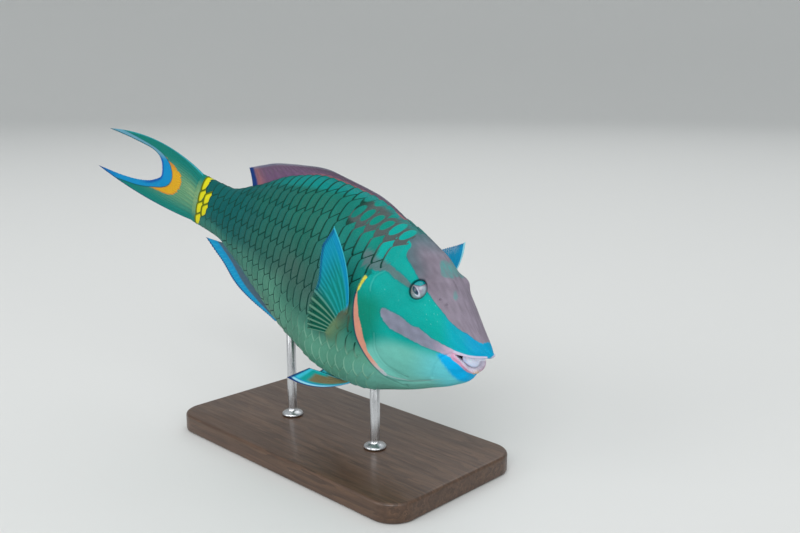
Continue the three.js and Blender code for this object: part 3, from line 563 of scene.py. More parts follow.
# Meshes
def piece(name, points, faces, material, *nodes, slot=None, tint=None, floats=None, uv=None, of_fish=True):
    """A mesh object from arrays, riding on the root and standing for CAD nodes. Each row of faces is a
    quad, or a triangle where its last index repeats the third."""
    if of_fish:
        points = points @ FISH_TURN.T + np.array(SNOUT_PLACE)
    faces = np.asarray(faces)
    three = faces[:, 2] == faces[:, 3]
    keep = np.ones(faces.shape, bool)
    keep[three, 3] = False
    corners = faces[keep]
    counts = np.where(three, 3, 4)
    mesh = bpy.data.meshes.new(name)
    mesh.vertices.add(len(points))
    mesh.vertices.foreach_set("co", np.asarray(points, np.float32).ravel())
    mesh.loops.add(len(corners))
    mesh.loops.foreach_set("vertex_index", corners.astype(np.int32))
    mesh.polygons.add(len(faces))
    mesh.polygons.foreach_set("loop_start", np.concatenate([[0], np.cumsum(counts)[:-1]]).astype(np.int32))
    mesh.polygons.foreach_set("use_smooth", np.ones(len(faces), bool))
    mesh.update(calc_edges=True)
    for key, values in (tint or {}).items():
        full = np.ones((len(points), 4), np.float32)
        full[:, :3] = values
        mesh.attributes.new(key, "FLOAT_COLOR", "POINT").data.foreach_set("color", full.ravel())
    for key, values in (floats or {}).items():
        mesh.attributes.new(key, "FLOAT", "POINT").data.foreach_set("value", np.asarray(values, np.float32))
    if uv is not None:
        layer = mesh.uv_layers.new(name="OFBake")
        layer.data.foreach_set("uv", np.asarray(uv, np.float32)[keep].ravel())
    mesh.validate()
    obj = bpy.data.objects.new(name, mesh)
    bpy.context.scene.collection.objects.link(obj)
    mesh.materials.append(material)
    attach(obj, "root")
    if nodes:
        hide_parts(*nodes)
    return obj


def grid_faces(rows, columns, wrap=False):
    """Quads of a grid of points whose second axis may close on itself, and the rows and columns of
    their corners."""
    i, j = np.meshgrid(np.arange(rows - 1), np.arange(columns if wrap else columns - 1), indexing="ij")
    corners = [np.stack([i + down, j + right], -1).reshape(-1, 2)
               for down, right in ((0, 0), (0, 1), (1, 1), (1, 0))]
    cells = np.stack(corners, 1)
    return cells[..., 0] * columns + cells[..., 1] % columns, cells


def capped_faces(rows, columns):
    """Faces of a grid that closes on itself, with a fan at each end to one further point."""
    quads, _ = grid_faces(rows, columns, wrap=True)
    here = np.arange(columns)
    ahead = (here + 1) % columns
    last = (rows - 1) * columns
    end = np.full(columns, rows * columns)
    return np.concatenate([quads, np.stack([end, ahead, here, here], -1),
                           np.stack([end + 1, last + here, last + ahead, last + ahead], -1)])


def capped_piece(name, points, tint, material, *nodes, flip=False, slot=None, uv=None):
    """A piece from rings of points and their colours, with a point in the middle of each end."""
    faces = capped_faces(*tint.shape[:2])
    if flip:
        last = np.where(faces[:, 2] == faces[:, 3], faces[:, 0], faces[:, 3])
        faces = np.stack([faces[:, 2], faces[:, 1], faces[:, 0], last], -1)
    ends = np.stack([points[0].mean(0), points[-1].mean(0)])
    tint = np.concatenate([tint.reshape(-1, 3), tint[0, :1], tint[-1, :1]])
    piece(name, np.concatenate([points.reshape(-1, 3), ends]), faces, material, *nodes, slot=slot,
          tint={"tint": tint}, uv=uv)


# Materials
class Nodes:
    """A short way to build a node tree."""

    def __init__(self, name):
        self.material = bpy.data.materials.new(name)
        self.material.use_nodes = True
        self.tree = self.material.node_tree
        self.shader = self.tree.nodes["Principled BSDF"]

    def add(self, kind, settings=None, **inputs):
        node = self.tree.nodes.new("ShaderNode" + kind)
        for key, value in (settings or {}).items():
            setattr(node, key, value)
        for key, value in inputs.items():
            self.put(node.inputs[int(key[1:]) if key[1:].isdigit() else key.replace("_", " ")], value)
        return node

    def put(self, socket, value):
        if isinstance(value, bpy.types.NodeSocket):
            self.tree.links.new(value, socket)
        elif isinstance(value, (tuple, list, np.ndarray)):
            socket.default_value = tuple(value) if len(value) == len(socket.default_value) else (*value, 1)
        else:
            socket.default_value = value

    def set(self, **inputs):
        for key, value in inputs.items():
            self.put(self.shader.inputs[key.replace("_", " ")], value)

    def named(self, name, output="Color"):
        return self.add("Attribute", dict(attribute_name=name)).outputs[output]

    def where(self):
        return self.add("TexCoord").outputs["Object"]

    def noise(self, scale, detail=3.0, rough=0.55, at=None):
        return self.add("TexNoise", Vector=at or self.where(), Scale=scale, Detail=detail,
                        Roughness=rough).outputs["Fac"]

    def span(self, value, low, high, to_low, to_high):
        return self.add("MapRange", Value=value, From_Min=low, From_Max=high, To_Min=to_low,
                        To_Max=to_high).outputs["Result"]

    def mix(self, share, first, second, how="MIX"):
        node = self.add("Mix", dict(data_type="RGBA", blend_type=how), _0=share)
        self.put(node.inputs[6], first)
        self.put(node.inputs[7], second)
        return node.outputs[2]

    def maths(self, how, first, second):
        return self.add("Math", dict(operation=how), _0=first, _1=second).outputs[0]

    def bump(self, height, strength, distance, after=None):
        node = self.add("Bump", Height=height, Strength=strength, Distance=distance)
        if after is not None:
            self.put(node.inputs["Normal"], after)
        return node.outputs["Normal"]


def skin_material(name, scaled):
    n = Nodes(name)
    tint = n.named("tint")
    if scaled:
        depth = n.named("rim_depth", "Fac")
        centre = n.mix(n.span(n.noise(1300, 3), 0.35, 0.7, 0.3, 0.9), tint, (0.035, 0.12, 0.08, 1))
        tint = n.mix(n.span(depth, 1.6, 3.4, 0, n.named("grey", "Fac")), tint, centre)
        tint = n.mix(n.span(depth, 1.1, 1.75, 1, 0), tint, n.named("rim"))
    mottle = n.noise(900, 4, 0.7)
    tint = n.mix(n.span(mottle, 0.3, 0.7, 0.0, 0.22), tint, (0.6, 0.72, 0.7, 1), "MULTIPLY")
    speck = n.span(n.noise(2600, 2), 0.64, 0.74, 0, 0.14)
    n.set(Base_Color=n.mix(speck, tint, (0.4, 0.7, 0.64, 1)))
    n.set(Roughness=n.span(n.noise(420, 3), 0.3, 0.7, 0.42, 0.58))
    n.set(Coat_Weight=0.03, Coat_Roughness=0.2, Specular_IOR_Level=0.08)
    fine = n.bump(n.noise(1500, 4, 0.7), 0.25, 0.0004)
    n.set(Normal=n.bump(n.noise(300, 3), 0.3, 0.0008, fine))
    return n.material


def fin_material(name, clear):
    n = Nodes(name)
    tint = n.named("tint")
    fibre = n.noise(700, 4, 0.65)
    tint = n.mix(n.span(fibre, 0.3, 0.7, 0.0, 0.25), tint, (0.6, 0.7, 0.75, 1), "MULTIPLY")
    n.set(Base_Color=tint, Roughness=n.span(fibre, 0.3, 0.7, 0.42, 0.58), Specular_IOR_Level=0.12)
    if clear:
        n.set(Alpha=n.named("cover", "Fac"))
    n.set(Normal=n.bump(n.noise(1800, 3, 0.6), 0.2, 0.0003))
    return n.material


HEAD_SKIN = skin_material("skin", False)
SCALE_SKIN = skin_material("scales", True)


# The skin, from the snout's cap to the stem's end
FINE = 1.0
SKIN_AROUND = 640  # points round each ring
MAP_START, MAP_REACH = 0.016, 0.9604  # where the skin's map starts and how far it goes


def spaced(low, high, step):
    return np.linspace(low, high, max(3, round((high - low) / step * FINE)), endpoint=False)


ring_backs = np.concatenate([
    -SNOUT_CAP * np.sin(np.linspace(1.45, 0.15, 8)), spaced(0, 0.09, 0.0011), spaced(0.09, 0.335, 0.0014),
    spaced(0.335, 0.92, 0.005), spaced(0.92, 1.0, 0.002), np.linspace(1.0, 1.0 + STEM_END, 8)])
ring_count, side_count = len(ring_backs), int(SKIN_AROUND * FINE) // 2 * 2
ring_angles = (np.arange(side_count) / side_count * 2 - 1) * np.pi
skin_back, skin_angle = np.meshgrid(ring_backs, ring_angles, indexing="ij")
skin_points, skin_near = skin(skin_back, skin_angle)
tint, _ = skin_tint(skin_back, skin_angle, skin_near)
_, cells = grid_faces(ring_count, side_count, wrap=True)
cell_uv = np.stack([MAP_START + MAP_REACH * ring_backs[cells[..., 0]] / (1 + STEM_END),
                    cells[..., 1] / side_count], -1)
cap_uv = np.zeros((2 * side_count, 4, 2))
cap_uv[:side_count] = [0.0005, 0.5]
cap_uv[side_count:] = [0.9995, 0.5]
cap_uv[:, :, 1] += np.array([0, 0.0004, -0.0004, -0.0004])
capped_piece("skin", skin_points, tint, HEAD_SKIN, "head", "lower_jaw", "gill_cover_right",
             "gill_cover_left", "trunk", "tail_stem", slot="body_skin",
             uv=np.concatenate([cell_uv, cap_uv]))

# Scales: overlapping plates in columns along the body, rows set off from one line
COLUMN = 0.0272
FIRST_COLUMN = 0.2561
COLUMNS = 28
LAST_ROW = 7
LOWEST_TURN = 176  # degrees round at which the rows end below
row_height = through_points([(0.25, 0.05), (0.4, 0.056), (0.5, 0.057), (0.6, 0.045), (0.75, 0.039),
                             (0.9, 0.034), (1.0, 0.032)])
scales_start = through_points([(-5, 0.332), (0, 0.33), (8, 0.326), (14, 0.32), (20, 0.308), (24, 0.27),
                               (30, 0.25), (42, 0.252), (52, 0.285), (62, 0.3), (75, 0.31), (90, 0.3),
                               (100, 0.28), (112, 0.255), (124, 0.235), (135, 0.22), (150, 0.21),
                               (180, 0.2)])
SCALE_U = np.array([0, 0.03, 0.07, 0.12, 0.18, 0.28, 0.42, 0.6, 0.8, 1.05, 1.35])
SCALE_V = np.array([-0.56, -0.5, -0.42, -0.32, -0.2, -0.05, 0.1, 0.22, 0.32, 0.4, 0.45, 0.48, 0.5, 0.52])
TOP_ROW_REACH = 3  # degrees from the ridge at which the top row ends
ROUND = np.linspace(-12, 192, 409)  # degrees round the body at which rows are measured
ROW_LINE = dict(back=0.604, up=0.0413, slope=0.085)  # the line that rows are set off from


def below_line(back):
    """Distance over the skin below the line of rows, all round."""
    left, up = section(back, np.radians(ROUND))
    arc = np.concatenate([[0], np.cumsum(np.hypot(np.diff(left), np.diff(up)))])
    line_up = ROW_LINE["up"] + (ROW_LINE["back"] - back) * ROW_LINE["slope"]
    return arc - np.interp(np.degrees(angle_at_height(back, line_up, 1)), ROUND, arc)


def scale_plates(side):
    """For each scale of a side, over its grid: distance back, degrees round, height over the skin,
    depth in from its rim, the place its map is set out from, and whether it is yellow with its shade."""
    random = np.random.default_rng(40 + side)
    forehead = flat(FOREHEAD)
    kept = []
    u, v = np.meshgrid(SCALE_U, SCALE_V, indexing="ij")
    corner = np.clip(np.abs(v + 0.02) * 2, 0, 1)
    for k in range(COLUMNS):
        rear = FIRST_COLUMN + k * COLUMN
        reach = row_height(rear)
        rear_below, below = below_line(rear), below_line(rear - 0.5 * COLUMN)
        ridge = np.interp(TOP_ROW_REACH, ROUND, rear_below)
        top = math.ceil(ridge / reach + 0.05)
        for r in range(top, LAST_ROW + 1):
            middle_turn = float(np.interp(r * reach, rear_below, ROUND))
            if (middle_turn > LOWEST_TURN or rear < scales_start(middle_turn) + 0.004
                    or inside(rear - 0.5 * COLUMN, middle_turn * DEGREE, forehead)):
                continue
            jitter = random.uniform(-1, 1, 5)

            # The plate's place, curled at its corners
            soft = float(smooth(middle_turn, 102, 122) * fade(rear, 0.5, 0.65))
            curl = 0.17 * corner ** 6 * (1 - soft) + 0.42 * corner ** 2.6 * soft
            forward = COLUMN * (u + curl * (1 - u / 1.6)) + 0.0011 * jitter[0]
            back = rear + 0.002 - forward
            tall = np.where((v > 0) & (r == top), 2 * (r * reach - ridge) / reach, 1.0)
            arcs = (r - v * tall - 0.5 * u + 0.02 * jitter[1]) * reach
            turn = np.maximum(np.interp(arcs, below, ROUND), 1.5 if r == top else -20)
            tuck = smooth(depth_in(back, section(back, np.radians(turn))[1], GILL_OUTLINE), -0.013, -0.006)
            if tuck.min() > 0.5:
                continue

            # Its height over the skin, in millimetres
            size = 0.62 + 0.38 * smooth(reach, 0.03, 0.05)
            lift = 0.66 * size * (1 - u / 1.15) + 0.16 * v - 0.05 + 0.05 * jitter[2]
            lift = lift + 0.12 * np.sin(np.pi * np.clip(v + 0.5, 0, 1)) - 0.9 * (u > 1.3)
            lift = np.where((u == 0) | (v < -0.55) | (v > 0.515), -0.35, lift)

            # How deep each point lies in from the dark rim
            depth = np.minimum((u + 0.02) * COLUMN * 0.95, (0.5 - v) * tall * reach) * LENGTH / MM
            nape = float(fade(rear, 0.42, 0.45) * fade(middle_turn, 46, 49))
            along_fin = r == top and rear > 0.365
            oval_width = 0.64 if along_fin else 0.54
            oval_height = 0.62 if along_fin else 0.36 if 20 < middle_turn < 36 else 0.42
            oval = np.hypot((u - 0.5) / oval_width, (v + 0.02) / oval_height)
            depth = depth * (1 - nape) + np.clip((1.0 - oval) * 6, 0, 5) * nape
            turns = BLOTCH_TURN if rear > 0.98 else BLOTCH_TURN_FRONT
            blotch = BLOTCH_BACK[0] < rear < BLOTCH_BACK[1] and turns[0] < middle_turn < turns[1]
            bold = 1.12 - 0.3 * smooth(middle_turn, 100, 130) - 0.2 * smooth(rear, 0.8, 0.95)
            depth = depth / (1.7 if blotch else bold) + 0.12 * jitter[3]

            root = np.broadcast_to([rear - COLUMN, middle_turn], u.shape + (2,))
            tone = np.stack([np.full(u.shape, float(blotch)), np.full(u.shape, jitter[4])], -1)
            kept.append((back, turn, (lift - 1.6 * tuck) * MM, depth, root, tone))
    return tuple(np.stack(part) for part in zip(*kept))


PLATE_FACES, _ = grid_faces(len(SCALE_U), len(SCALE_V))
PLATE_MAP = 0.0015  # how large a plate is in the map
PLATE_TURN = 15  # degrees
for side, name in SIDES.items():
    backs, turns, heights, depths, roots, tones = scale_plates(side)
    angles = side * np.radians(turns)
    raised = (relief(backs, angles) + heights)[..., None]
    points = bare_skin(backs, angles) + skin_normal(backs, angles) * raised
    tint, rim = skin_tint(backs, angles)
    yellow = tones[..., 0]
    tint = blend(tint, BLOTCH, yellow) * (1 + 0.06 * tones[..., 1:])
    rim = blend(rim, BLOTCH_LINE, yellow)
    greys = (0.55 * smooth(backs, 0.4, 0.5) * fade(backs, 0.68, 0.85) * smooth(turns, 25, 40)
             * (1 - yellow))
    starts = np.arange(len(backs)) * SCALE_U.size * SCALE_V.size
    faces = PLATE_FACES if side < 0 else PLATE_FACES[:, ::-1]
    faces = (faces[None] + starts[:, None, None]).reshape(-1, 4)
    root_back, root_turn = roots[..., 0], roots[..., 1]
    uv = np.stack([0.01 + 0.96 * root_back + (backs - root_back) / COLUMN * PLATE_MAP,
                   0.5 + side * root_turn / 360 + (turns - root_turn) / PLATE_TURN * PLATE_MAP], -1)
    piece("scales_" + name, points.reshape(-1, 3), faces, SCALE_SKIN, slot="body_skin",
          tint={"tint": tint.reshape(-1, 3), "rim": rim.reshape(-1, 3)},
          floats={"rim_depth": depths.ravel(), "grey": greys.ravel()}, uv=uv.reshape(-1, 2)[faces])


# Fins: sheets with raised rays that branch towards their tips
def sheet(name, middle, normal, half, material, node, slot, tint, cover=None):
    """A closed sheet of half a thickness to each side of a grid of points."""
    rows, columns = half.shape
    offset = normal * half[..., None]
    points = np.concatenate([(middle + offset).reshape(-1, 3), (middle - offset).reshape(-1, 3)])
    quads, _ = grid_faces(rows, columns)
    total = rows * columns
    across, along = np.arange(rows - 1), np.arange(columns - 1)
    edges = [np.stack([across, across + 1], -1) * columns,
             np.stack([across + 1, across], -1) * columns + columns - 1,
             np.stack([along + 1, along], -1),
             np.stack([along, along + 1], -1) + (rows - 1) * columns]
    walls = [np.stack([e[:, 0], e[:, 1], e[:, 1] + total, e[:, 0] + total], -1) for e in edges]
    piece(name, points, np.concatenate([quads, quads[:, ::-1] + total, *walls]), material, node, slot=slot,
          tint={"tint": np.concatenate([tint.reshape(-1, 3)] * 2)},
          floats=None if cover is None else {"cover": np.concatenate([cover.ravel()] * 2)})


def ray_ridges(share, along, fin, split=None):
    """Height of the rays from 0 to 1. Each ray parts in two, and in two again."""
    gaps = fin["rays"] - 1
    first_split, second_split = split or fin["split"]

    def comb(count):
        return (0.5 + 0.5 * np.cos(2 * np.pi * share * count)) ** 2

    one, two, four = comb(gaps), comb(2 * gaps), comb(4 * gaps)
    first = smooth(along, first_split, first_split + 0.15)
    second = smooth(along, second_split, second_split + 0.15)
    return one * (1 - first) + two * first * (1 - second) + four * second


def fin_grid(fin):
    """Shares across the fin, from its first ray to its last, and along its rays."""
    rows, columns = int((fin["rays"] - 1) * fin["per_ray"] * FINE) + 1, int(fin["columns"] * FINE)
    return np.meshgrid(np.linspace(0, 1, rows), np.linspace(0, 1, columns), indexing="ij")


def sideways(back):
    return unit(place(back, 1, 0) - place(back, 0, 0))


FIN_SKIN = fin_material("fin_membrane", False)
CLEAR_FIN = fin_material("fin_membrane_clear", True)

MIDLINE_GRID = dict(per_ray=12, columns=34, split=(0.4, 0.7))
DORSAL = dict(start=0.3, end=0.812, rays=19, **MIDLINE_GRID)
DORSAL_RAYS = [(0, 0.05, 0.004), (0.15, 0.062, 0.008), (0.3, 0.062, 0.0125), (0.45, 0.062, 0.019),
               (0.65, 0.058, 0.031), (0.85, 0.05, 0.054), (1, 0.03, 0.0545)]
ANAL = dict(start=0.598, end=0.862, rays=12, **MIDLINE_GRID)
ANAL_RAYS = [(0, 0.03, 0.022), (0.25, 0.05, 0.0425), (0.6, 0.056, 0.0565), (0.85, 0.06, 0.046),
             (1, 0.08, 0.02)]
FIN_MAUVE = linear(104, 78, 106)
FIN_PLUM = linear(96, 82, 96)
FIN_GREY = linear(112, 118, 140)
FIN_PINK = linear(160, 98, 96)
FIN_NAVY = linear(10, 50, 112)
FIN_BLUE = linear(0, 138, 188)
FIN_CYAN = linear(60, 190, 214)
FIN_TEAL = linear(0, 150, 146)
FIN_WHITE = linear(150, 214, 226)
DEEP_TEAL = linear(0, 88, 70)
PALE_RAY = linear(104, 152, 130)
ANAL_GREY = linear(70, 96, 112)


def midline_fin(fin, table, edge_at, way):
    """A fin along the top or bottom edge of the body. Its table gives each ray's lean and height."""
    share, u = fin_grid(fin)
    lean, height = through_points(table, 1)(share), through_points(table, 2)(share)
    root = fin["start"] + (fin["end"] - fin["start"]) * share
    reach = u * 1.14 - 0.14
    out = np.maximum(reach, 0)
    ray = ray_ridges(share, u, fin)
    notch = 1 - 0.022 * (1 - ray) * out ** 6
    back = root + lean * out * notch
    up = edge_at(root) + (edge_at(root + lean) - edge_at(root)) * out + way * height * out * notch
    up = up + np.minimum(reach, 0) * way * 0.05
    wave = 0.0035 * np.sin(9 * share + 1) * out ** 2
    half = (0.25 + 1.1 * (1 - out) ** 3 + 0.42 * ray * (1 - 0.6 * out)) * MM
    return share, out, ray, place(back, wave, up), sideways(back), half


share, out, ray, *form = midline_fin(DORSAL, DORSAL_RAYS, top_at, 1)
tint = layered(
    FIN_MAUVE,
    (FIN_PLUM, 0.8 * smooth(0.72 - share, 0, 0.4)),
    (FIN_PINK, 0.85 * smooth(0.34 - out, 0, 0.3) * smooth(0.75 - share, 0, 0.35)),
    (FIN_PINK, 0.6 * bell(share, 0.955, 0.035)),
    (FIN_PLUM, 0.5 * (1 - ray) * smooth(out, 0.1, 0.6)),
    (FIN_GREY, 0.7 * smooth(out, 0.8, 0.97)),
    (FIN_NAVY, smooth(share, 0.962, 0.976)))
cover = 1 - 0.55 * smooth(out, 0.55, 1) * smooth(0.97 - share, 0, 0.25) * (1 - 0.75 * ray)
sheet("dorsal_fin_membrane", *form, CLEAR_FIN, "dorsal_fin", "fin_purple", tint, cover)

share, out, ray, *form = midline_fin(ANAL, ANAL_RAYS, bottom_at, -1)
tint = layered(
    ANAL_GREY,
    (FIN_TEAL, 0.4 * smooth(0.25 - out, 0, 0.2)),
    (FIN_BLUE, smooth(out + 0.2 * smooth(share, 0.4, 0.9), 0.56, 0.64)),
    (FIN_CYAN, 0.3 * ray * smooth(out, 0.5, 0.7)),
    (FIN_NAVY, 0.85 * smooth(out, 0.88, 0.94)))
sheet("anal_fin_membrane", *form, FIN_SKIN, "anal_fin", "fin_blue", tint)

# Tail fin
CAUDAL = dict(root=1.001, low=-0.064, high=0.062, rays=14, per_ray=14, columns=130, split=(0.25, 0.55))
CAUDAL_TIPS = [(0, 1.441, -0.053), (0.07, 1.35, -0.047), (0.16, 1.27, -0.036), (0.3, 1.2, -0.015),
               (0.48, 1.168, 0.01), (0.64, 1.178, 0.037), (0.78, 1.205, 0.058), (0.88, 1.25, 0.066),
               (0.94, 1.33, 0.067), (1, 1.424, 0.065)]
CAUDAL_BOW = [(0, -0.027), (0.3, -0.004), (0.7, 0.012), (1, 0.058)]
# The yellow crescent and the blue behind it meet along this line, from below upwards
BLUE_EDGE = [(1.1997, -0.0355), (1.148, -0.0194), (1.1258, 0.0001), (1.1236, 0.0215), (1.1402, 0.0446),
             (1.1672, 0.0606)]
CRESCENT = rounded([*BLUE_EDGE[::-1], (1.215, -0.042), (1.1992, -0.0375), (1.1424, -0.0366),
                    (1.1073, -0.0283), (1.0892, -0.0077), (1.0827, 0.0146), (1.0915, 0.0372),
                    (1.1192, 0.0478), (1.1636, 0.0595), (1.175, 0.064)], True)
BLUE_ZONE = rounded([(1.5, -0.056), (1.42, -0.0665), (1.3721, -0.0632), (1.3, -0.056), (1.2654, -0.0519),
                     (1.23, -0.0445), *BLUE_EDGE, (1.2, 0.069), (1.2389, 0.0738), (1.3, 0.0765),
                     (1.3451, 0.078), (1.5, 0.08), (1.6, 0.0)], True)
TAIL_YELLOW = linear(208, 158, 30)
TAIL_ORANGE = linear(190, 124, 52)
TAIL_LINE = linear(0, 74, 84)
TAIL_BLUE = linear(0, 132, 186)
TAIL_DEEP = linear(0, 84, 160)
TAIL_PALE = linear(96, 150, 172)

share, u = fin_grid(CAUDAL)
reach = u * 1.02 - 0.02
tip_back, tip_up = (through_points(CAUDAL_TIPS, column)(share) for column in (1, 2))
root_up = CAUDAL["low"] + (CAUDAL["high"] - CAUDAL["low"]) * share
ray = ray_ridges(share, u, CAUDAL)
notch = 1 - 0.012 * (1 - ray) * np.clip(reach, 0, 1) ** 8
back = CAUDAL["root"] + (tip_back - CAUDAL["root"]) * reach * notch
up = root_up + (tip_up - root_up) * reach + through_points(CAUDAL_BOW)(share) * 2 * reach * (1 - reach)
foot = half_at(1.0) * LENGTH * 0.8 * (0.3 + 0.7 * np.sqrt(np.clip(1 - (2 * share - 1) ** 2, 0, 1)))
half = (0.28 * MM + (foot - 0.28 * MM) * np.clip(1 - reach, 0, 1.02) ** 7
        + 0.5 * MM * ray * np.clip(8 * reach, 0, 1) * (1 - 0.7 * reach))
wave = 0.004 * np.sin(5 * share + 3 * reach) * np.clip(reach, 0, 1) ** 2 * np.sin(np.pi * share) ** 0.5
to_margin = line_distance(back, up, list(zip(tip_back[:, -1], tip_up[:, -1]))) * LENGTH / MM
fibres = 0.0022 * waves(share * 60, reach, 2.2, 21) * (0.5 + ray)
crescent, blue_depth = depth_in(back, up, CRESCENT), depth_in(back, up, BLUE_ZONE)
lobe = smooth(np.abs(share - 0.46), 0.1, 0.4)
upper_lobe = smooth(up, 0.048, 0.064) * smooth(back, 1.15, 1.19)
yellow = blend(TAIL_YELLOW, TAIL_ORANGE,
               np.maximum(smooth(up, 0.03, 0.055), 0.8 * smooth(0.006 - crescent, 0, 0.006)))
blue = layered(
    TAIL_BLUE,
    (TAIL_DEEP, smooth(3.6 - to_margin, 0, 2.4) * fade(back, 1.2, 1.26)),
    (TAIL_DEEP, 0.7 * smooth(back, 1.33, 1.42)),
    (TAIL_PALE, upper_lobe),
    (TAIL_LINE, 0.8 * upper_lobe * smooth(1.2 - to_margin, 0, 0.8)))
tint = layered(
    TAIL_GREEN,
    (TAIL_TEAL, np.maximum(lobe, smooth(back, 1.2, 1.3))),
    (TAIL_STREAK, 0.6 * bell(up, 0.004 + 0.2 * (back - 1.02), 0.014) * bell(back, 1.04, 0.035)),
    (TAIL_TEAL, 0.3 * (1 - ray)),
    (yellow, smooth(crescent + fibres, -0.0006, 0.0012)),
    (blue, smooth(blue_depth, -0.0004, 0.0006)),
    (TAIL_LINE, 0.85 * bell(blue_depth, -0.0006, 0.0014) * (1 - 0.6 * upper_lobe)),
    (FIN_CYAN, 0.45 * smooth(share, 0.984, 0.996) * fade(back, 1.3, 1.4)),
    (FIN_NAVY, 0.7 * smooth(0.014 - share, 0, 0.01)))
sheet("caudal_fin_membrane", place(back, wave, up), sideways(back), half, FIN_SKIN, "caudal_fin",
      "fin_green", tint)

# Pectoral fins: fans whose rays turn and shorten from the first to the last
PECTORAL = dict(root=((0.322, -0.019), (0.361, -0.09)), first=0.206, last=0.069, sweep=74, spread=1.35,
                rays=13, per_ray=16, columns=80, split=(0.5, 0.78))
UNSPLIT = (2, 3)
PECTORAL_SIDES = {
    -1: dict(lead=(-0.097, -0.427, 0.899), normal=(0.658, -0.706, -0.265), shorten=1.2, bow=0.012, pale=0.9),
    1: dict(lead=(0.17, 0.52, 0.84), normal=(0.154, 0.825, -0.542), shorten=0.75, bow=0.05, pale=0.5)}
for side, name in SIDES.items():
    # Its fan of rays
    form = PECTORAL_SIDES[side]
    share, u = fin_grid(PECTORAL)
    lead, face = unit(np.array(form["lead"])), unit(np.array(form["normal"]))
    high, low = (bare_skin(b, angle_at_height(b, z, side)) for b, z in PECTORAL["root"])
    inward = -skin_normal(PECTORAL["root"][0][0], angle_at_height(*PECTORAL["root"][0], side))
    sweep_way = -side * np.cross(face, lead)
    turn = math.radians(PECTORAL["sweep"]) * share ** PECTORAL["spread"]
    shorter = (1 - share) ** form["shorten"]
    reach = u * 1.08 - 0.08
    out = np.clip(reach, 0, 1)
    rear = smooth(share, 0.42, 0.52)
    ray = (ray_ridges(share, u, PECTORAL) * (1 - rear)
           + ray_ridges(share, u, PECTORAL, UNSPLIT) * rear)
    length = LENGTH * (PECTORAL["last"] + (PECTORAL["first"] - PECTORAL["last"]) * shorter)
    length = length * (1 - (0.012 + 0.06 * rear) * (1 - ray) * out ** 5)
    way = lead * np.cos(turn)[..., None] + sweep_way * np.sin(turn)[..., None]
    root = high + (low - high) * share[..., None]
    bow = LENGTH * form["bow"] * 4 * out * (1 - out) * shorter
    middle = (root + way * (length * out)[..., None] - sweep_way * bow[..., None]
              + inward * (np.clip(-reach, 0, 1) * 0.3 * LENGTH * 0.25)[..., None])
    middle = middle + face * (0.0008 * np.sin(8 * share + 2 * out) * out)[..., None]
    fleshy = smooth(0.11 - out * (0.5 + 0.5 * length / LENGTH / PECTORAL["first"]), 0, 0.07)
    half = 0.2 + 1.9 * fleshy + 1.2 * (1 - out) ** 5 + 0.42 * ray * (1 - fleshy) * (1 - 0.6 * out)

    # Its colours: blue in front, dark wedges between pale rays behind
    blue = layered(
        FIN_TEAL,
        (FIN_BLUE, np.maximum(0.7 * smooth(out, 0.45, 0.95), 0.9 * smooth(0.13 - share, 0, 0.08))),
        (DEEP_TEAL, 0.4 * (1 - ray) * fade(out, 0.6, 0.9) * smooth(share, 0.08, 0.14)),
        (FIN_CYAN, 0.18 * ray))
    wedges = blend(DEEP_TEAL, PALE_RAY, form["pale"] * smooth(ray, 0.3, 0.75))
    tint = layered(
        blue,
        (wedges, smooth(share, 0.37, 0.57)),
        (FIN_NAVY, 0.6 * smooth(out, 0.95, 0.985) * (1 - rear)),
        (FIN_CYAN, smooth(0.018 - share, 0, 0.01)))
    foot = blend(OLIVE, OLIVE_DUSK, 0.9 * bell(share, 0.2, 0.25))
    foot_layer = (foot, np.maximum(fleshy, smooth(0.1 + 0.1 * share - out, 0, 0.07)))
    if side > 0:
        tint = layered(
            tint,
            (FIN_BLUE, 0.8 * smooth(out, 0.15, 0.6) * fade(share, 0.3, 0.6) * (1 - 0.55 * ray)),
            (FIN_WHITE, smooth(0.02 - share, 0, 0.012)),
            foot_layer)
        streaks = 0.02 * waves(share * 30, out * 2, 1.5, 31)
        cover = 1 - 0.5 * smooth(out - streaks, 0.86, 1.0) * smooth(share, 0.03, 0.1) * (1 - 0.6 * ray)
    else:
        limit = 1.02 - 0.3 * smooth(share, 0.1, 0.45)
        tint = layered(
            tint,
            foot_layer,
            (FIN_NAVY, 0.7 * bell(out, limit - 0.01, 0.02) * smooth(share, 0.1, 0.2) * (1 - rear)))
        cover = 1 - rear * smooth(out, 0.5, 0.85) * (1 - ray * (1 - 0.6 * smooth(out, 0.75, 1.0)))
        cover = cover * (1 - smooth(out - limit, 0, 0.03) * smooth(share, 0.1, 0.2))
    sheet("pectoral_membrane_" + name, middle, face, half * MM, CLEAR_FIN, "pectoral_fin_" + name,
          "fin_blue", tint, cover)

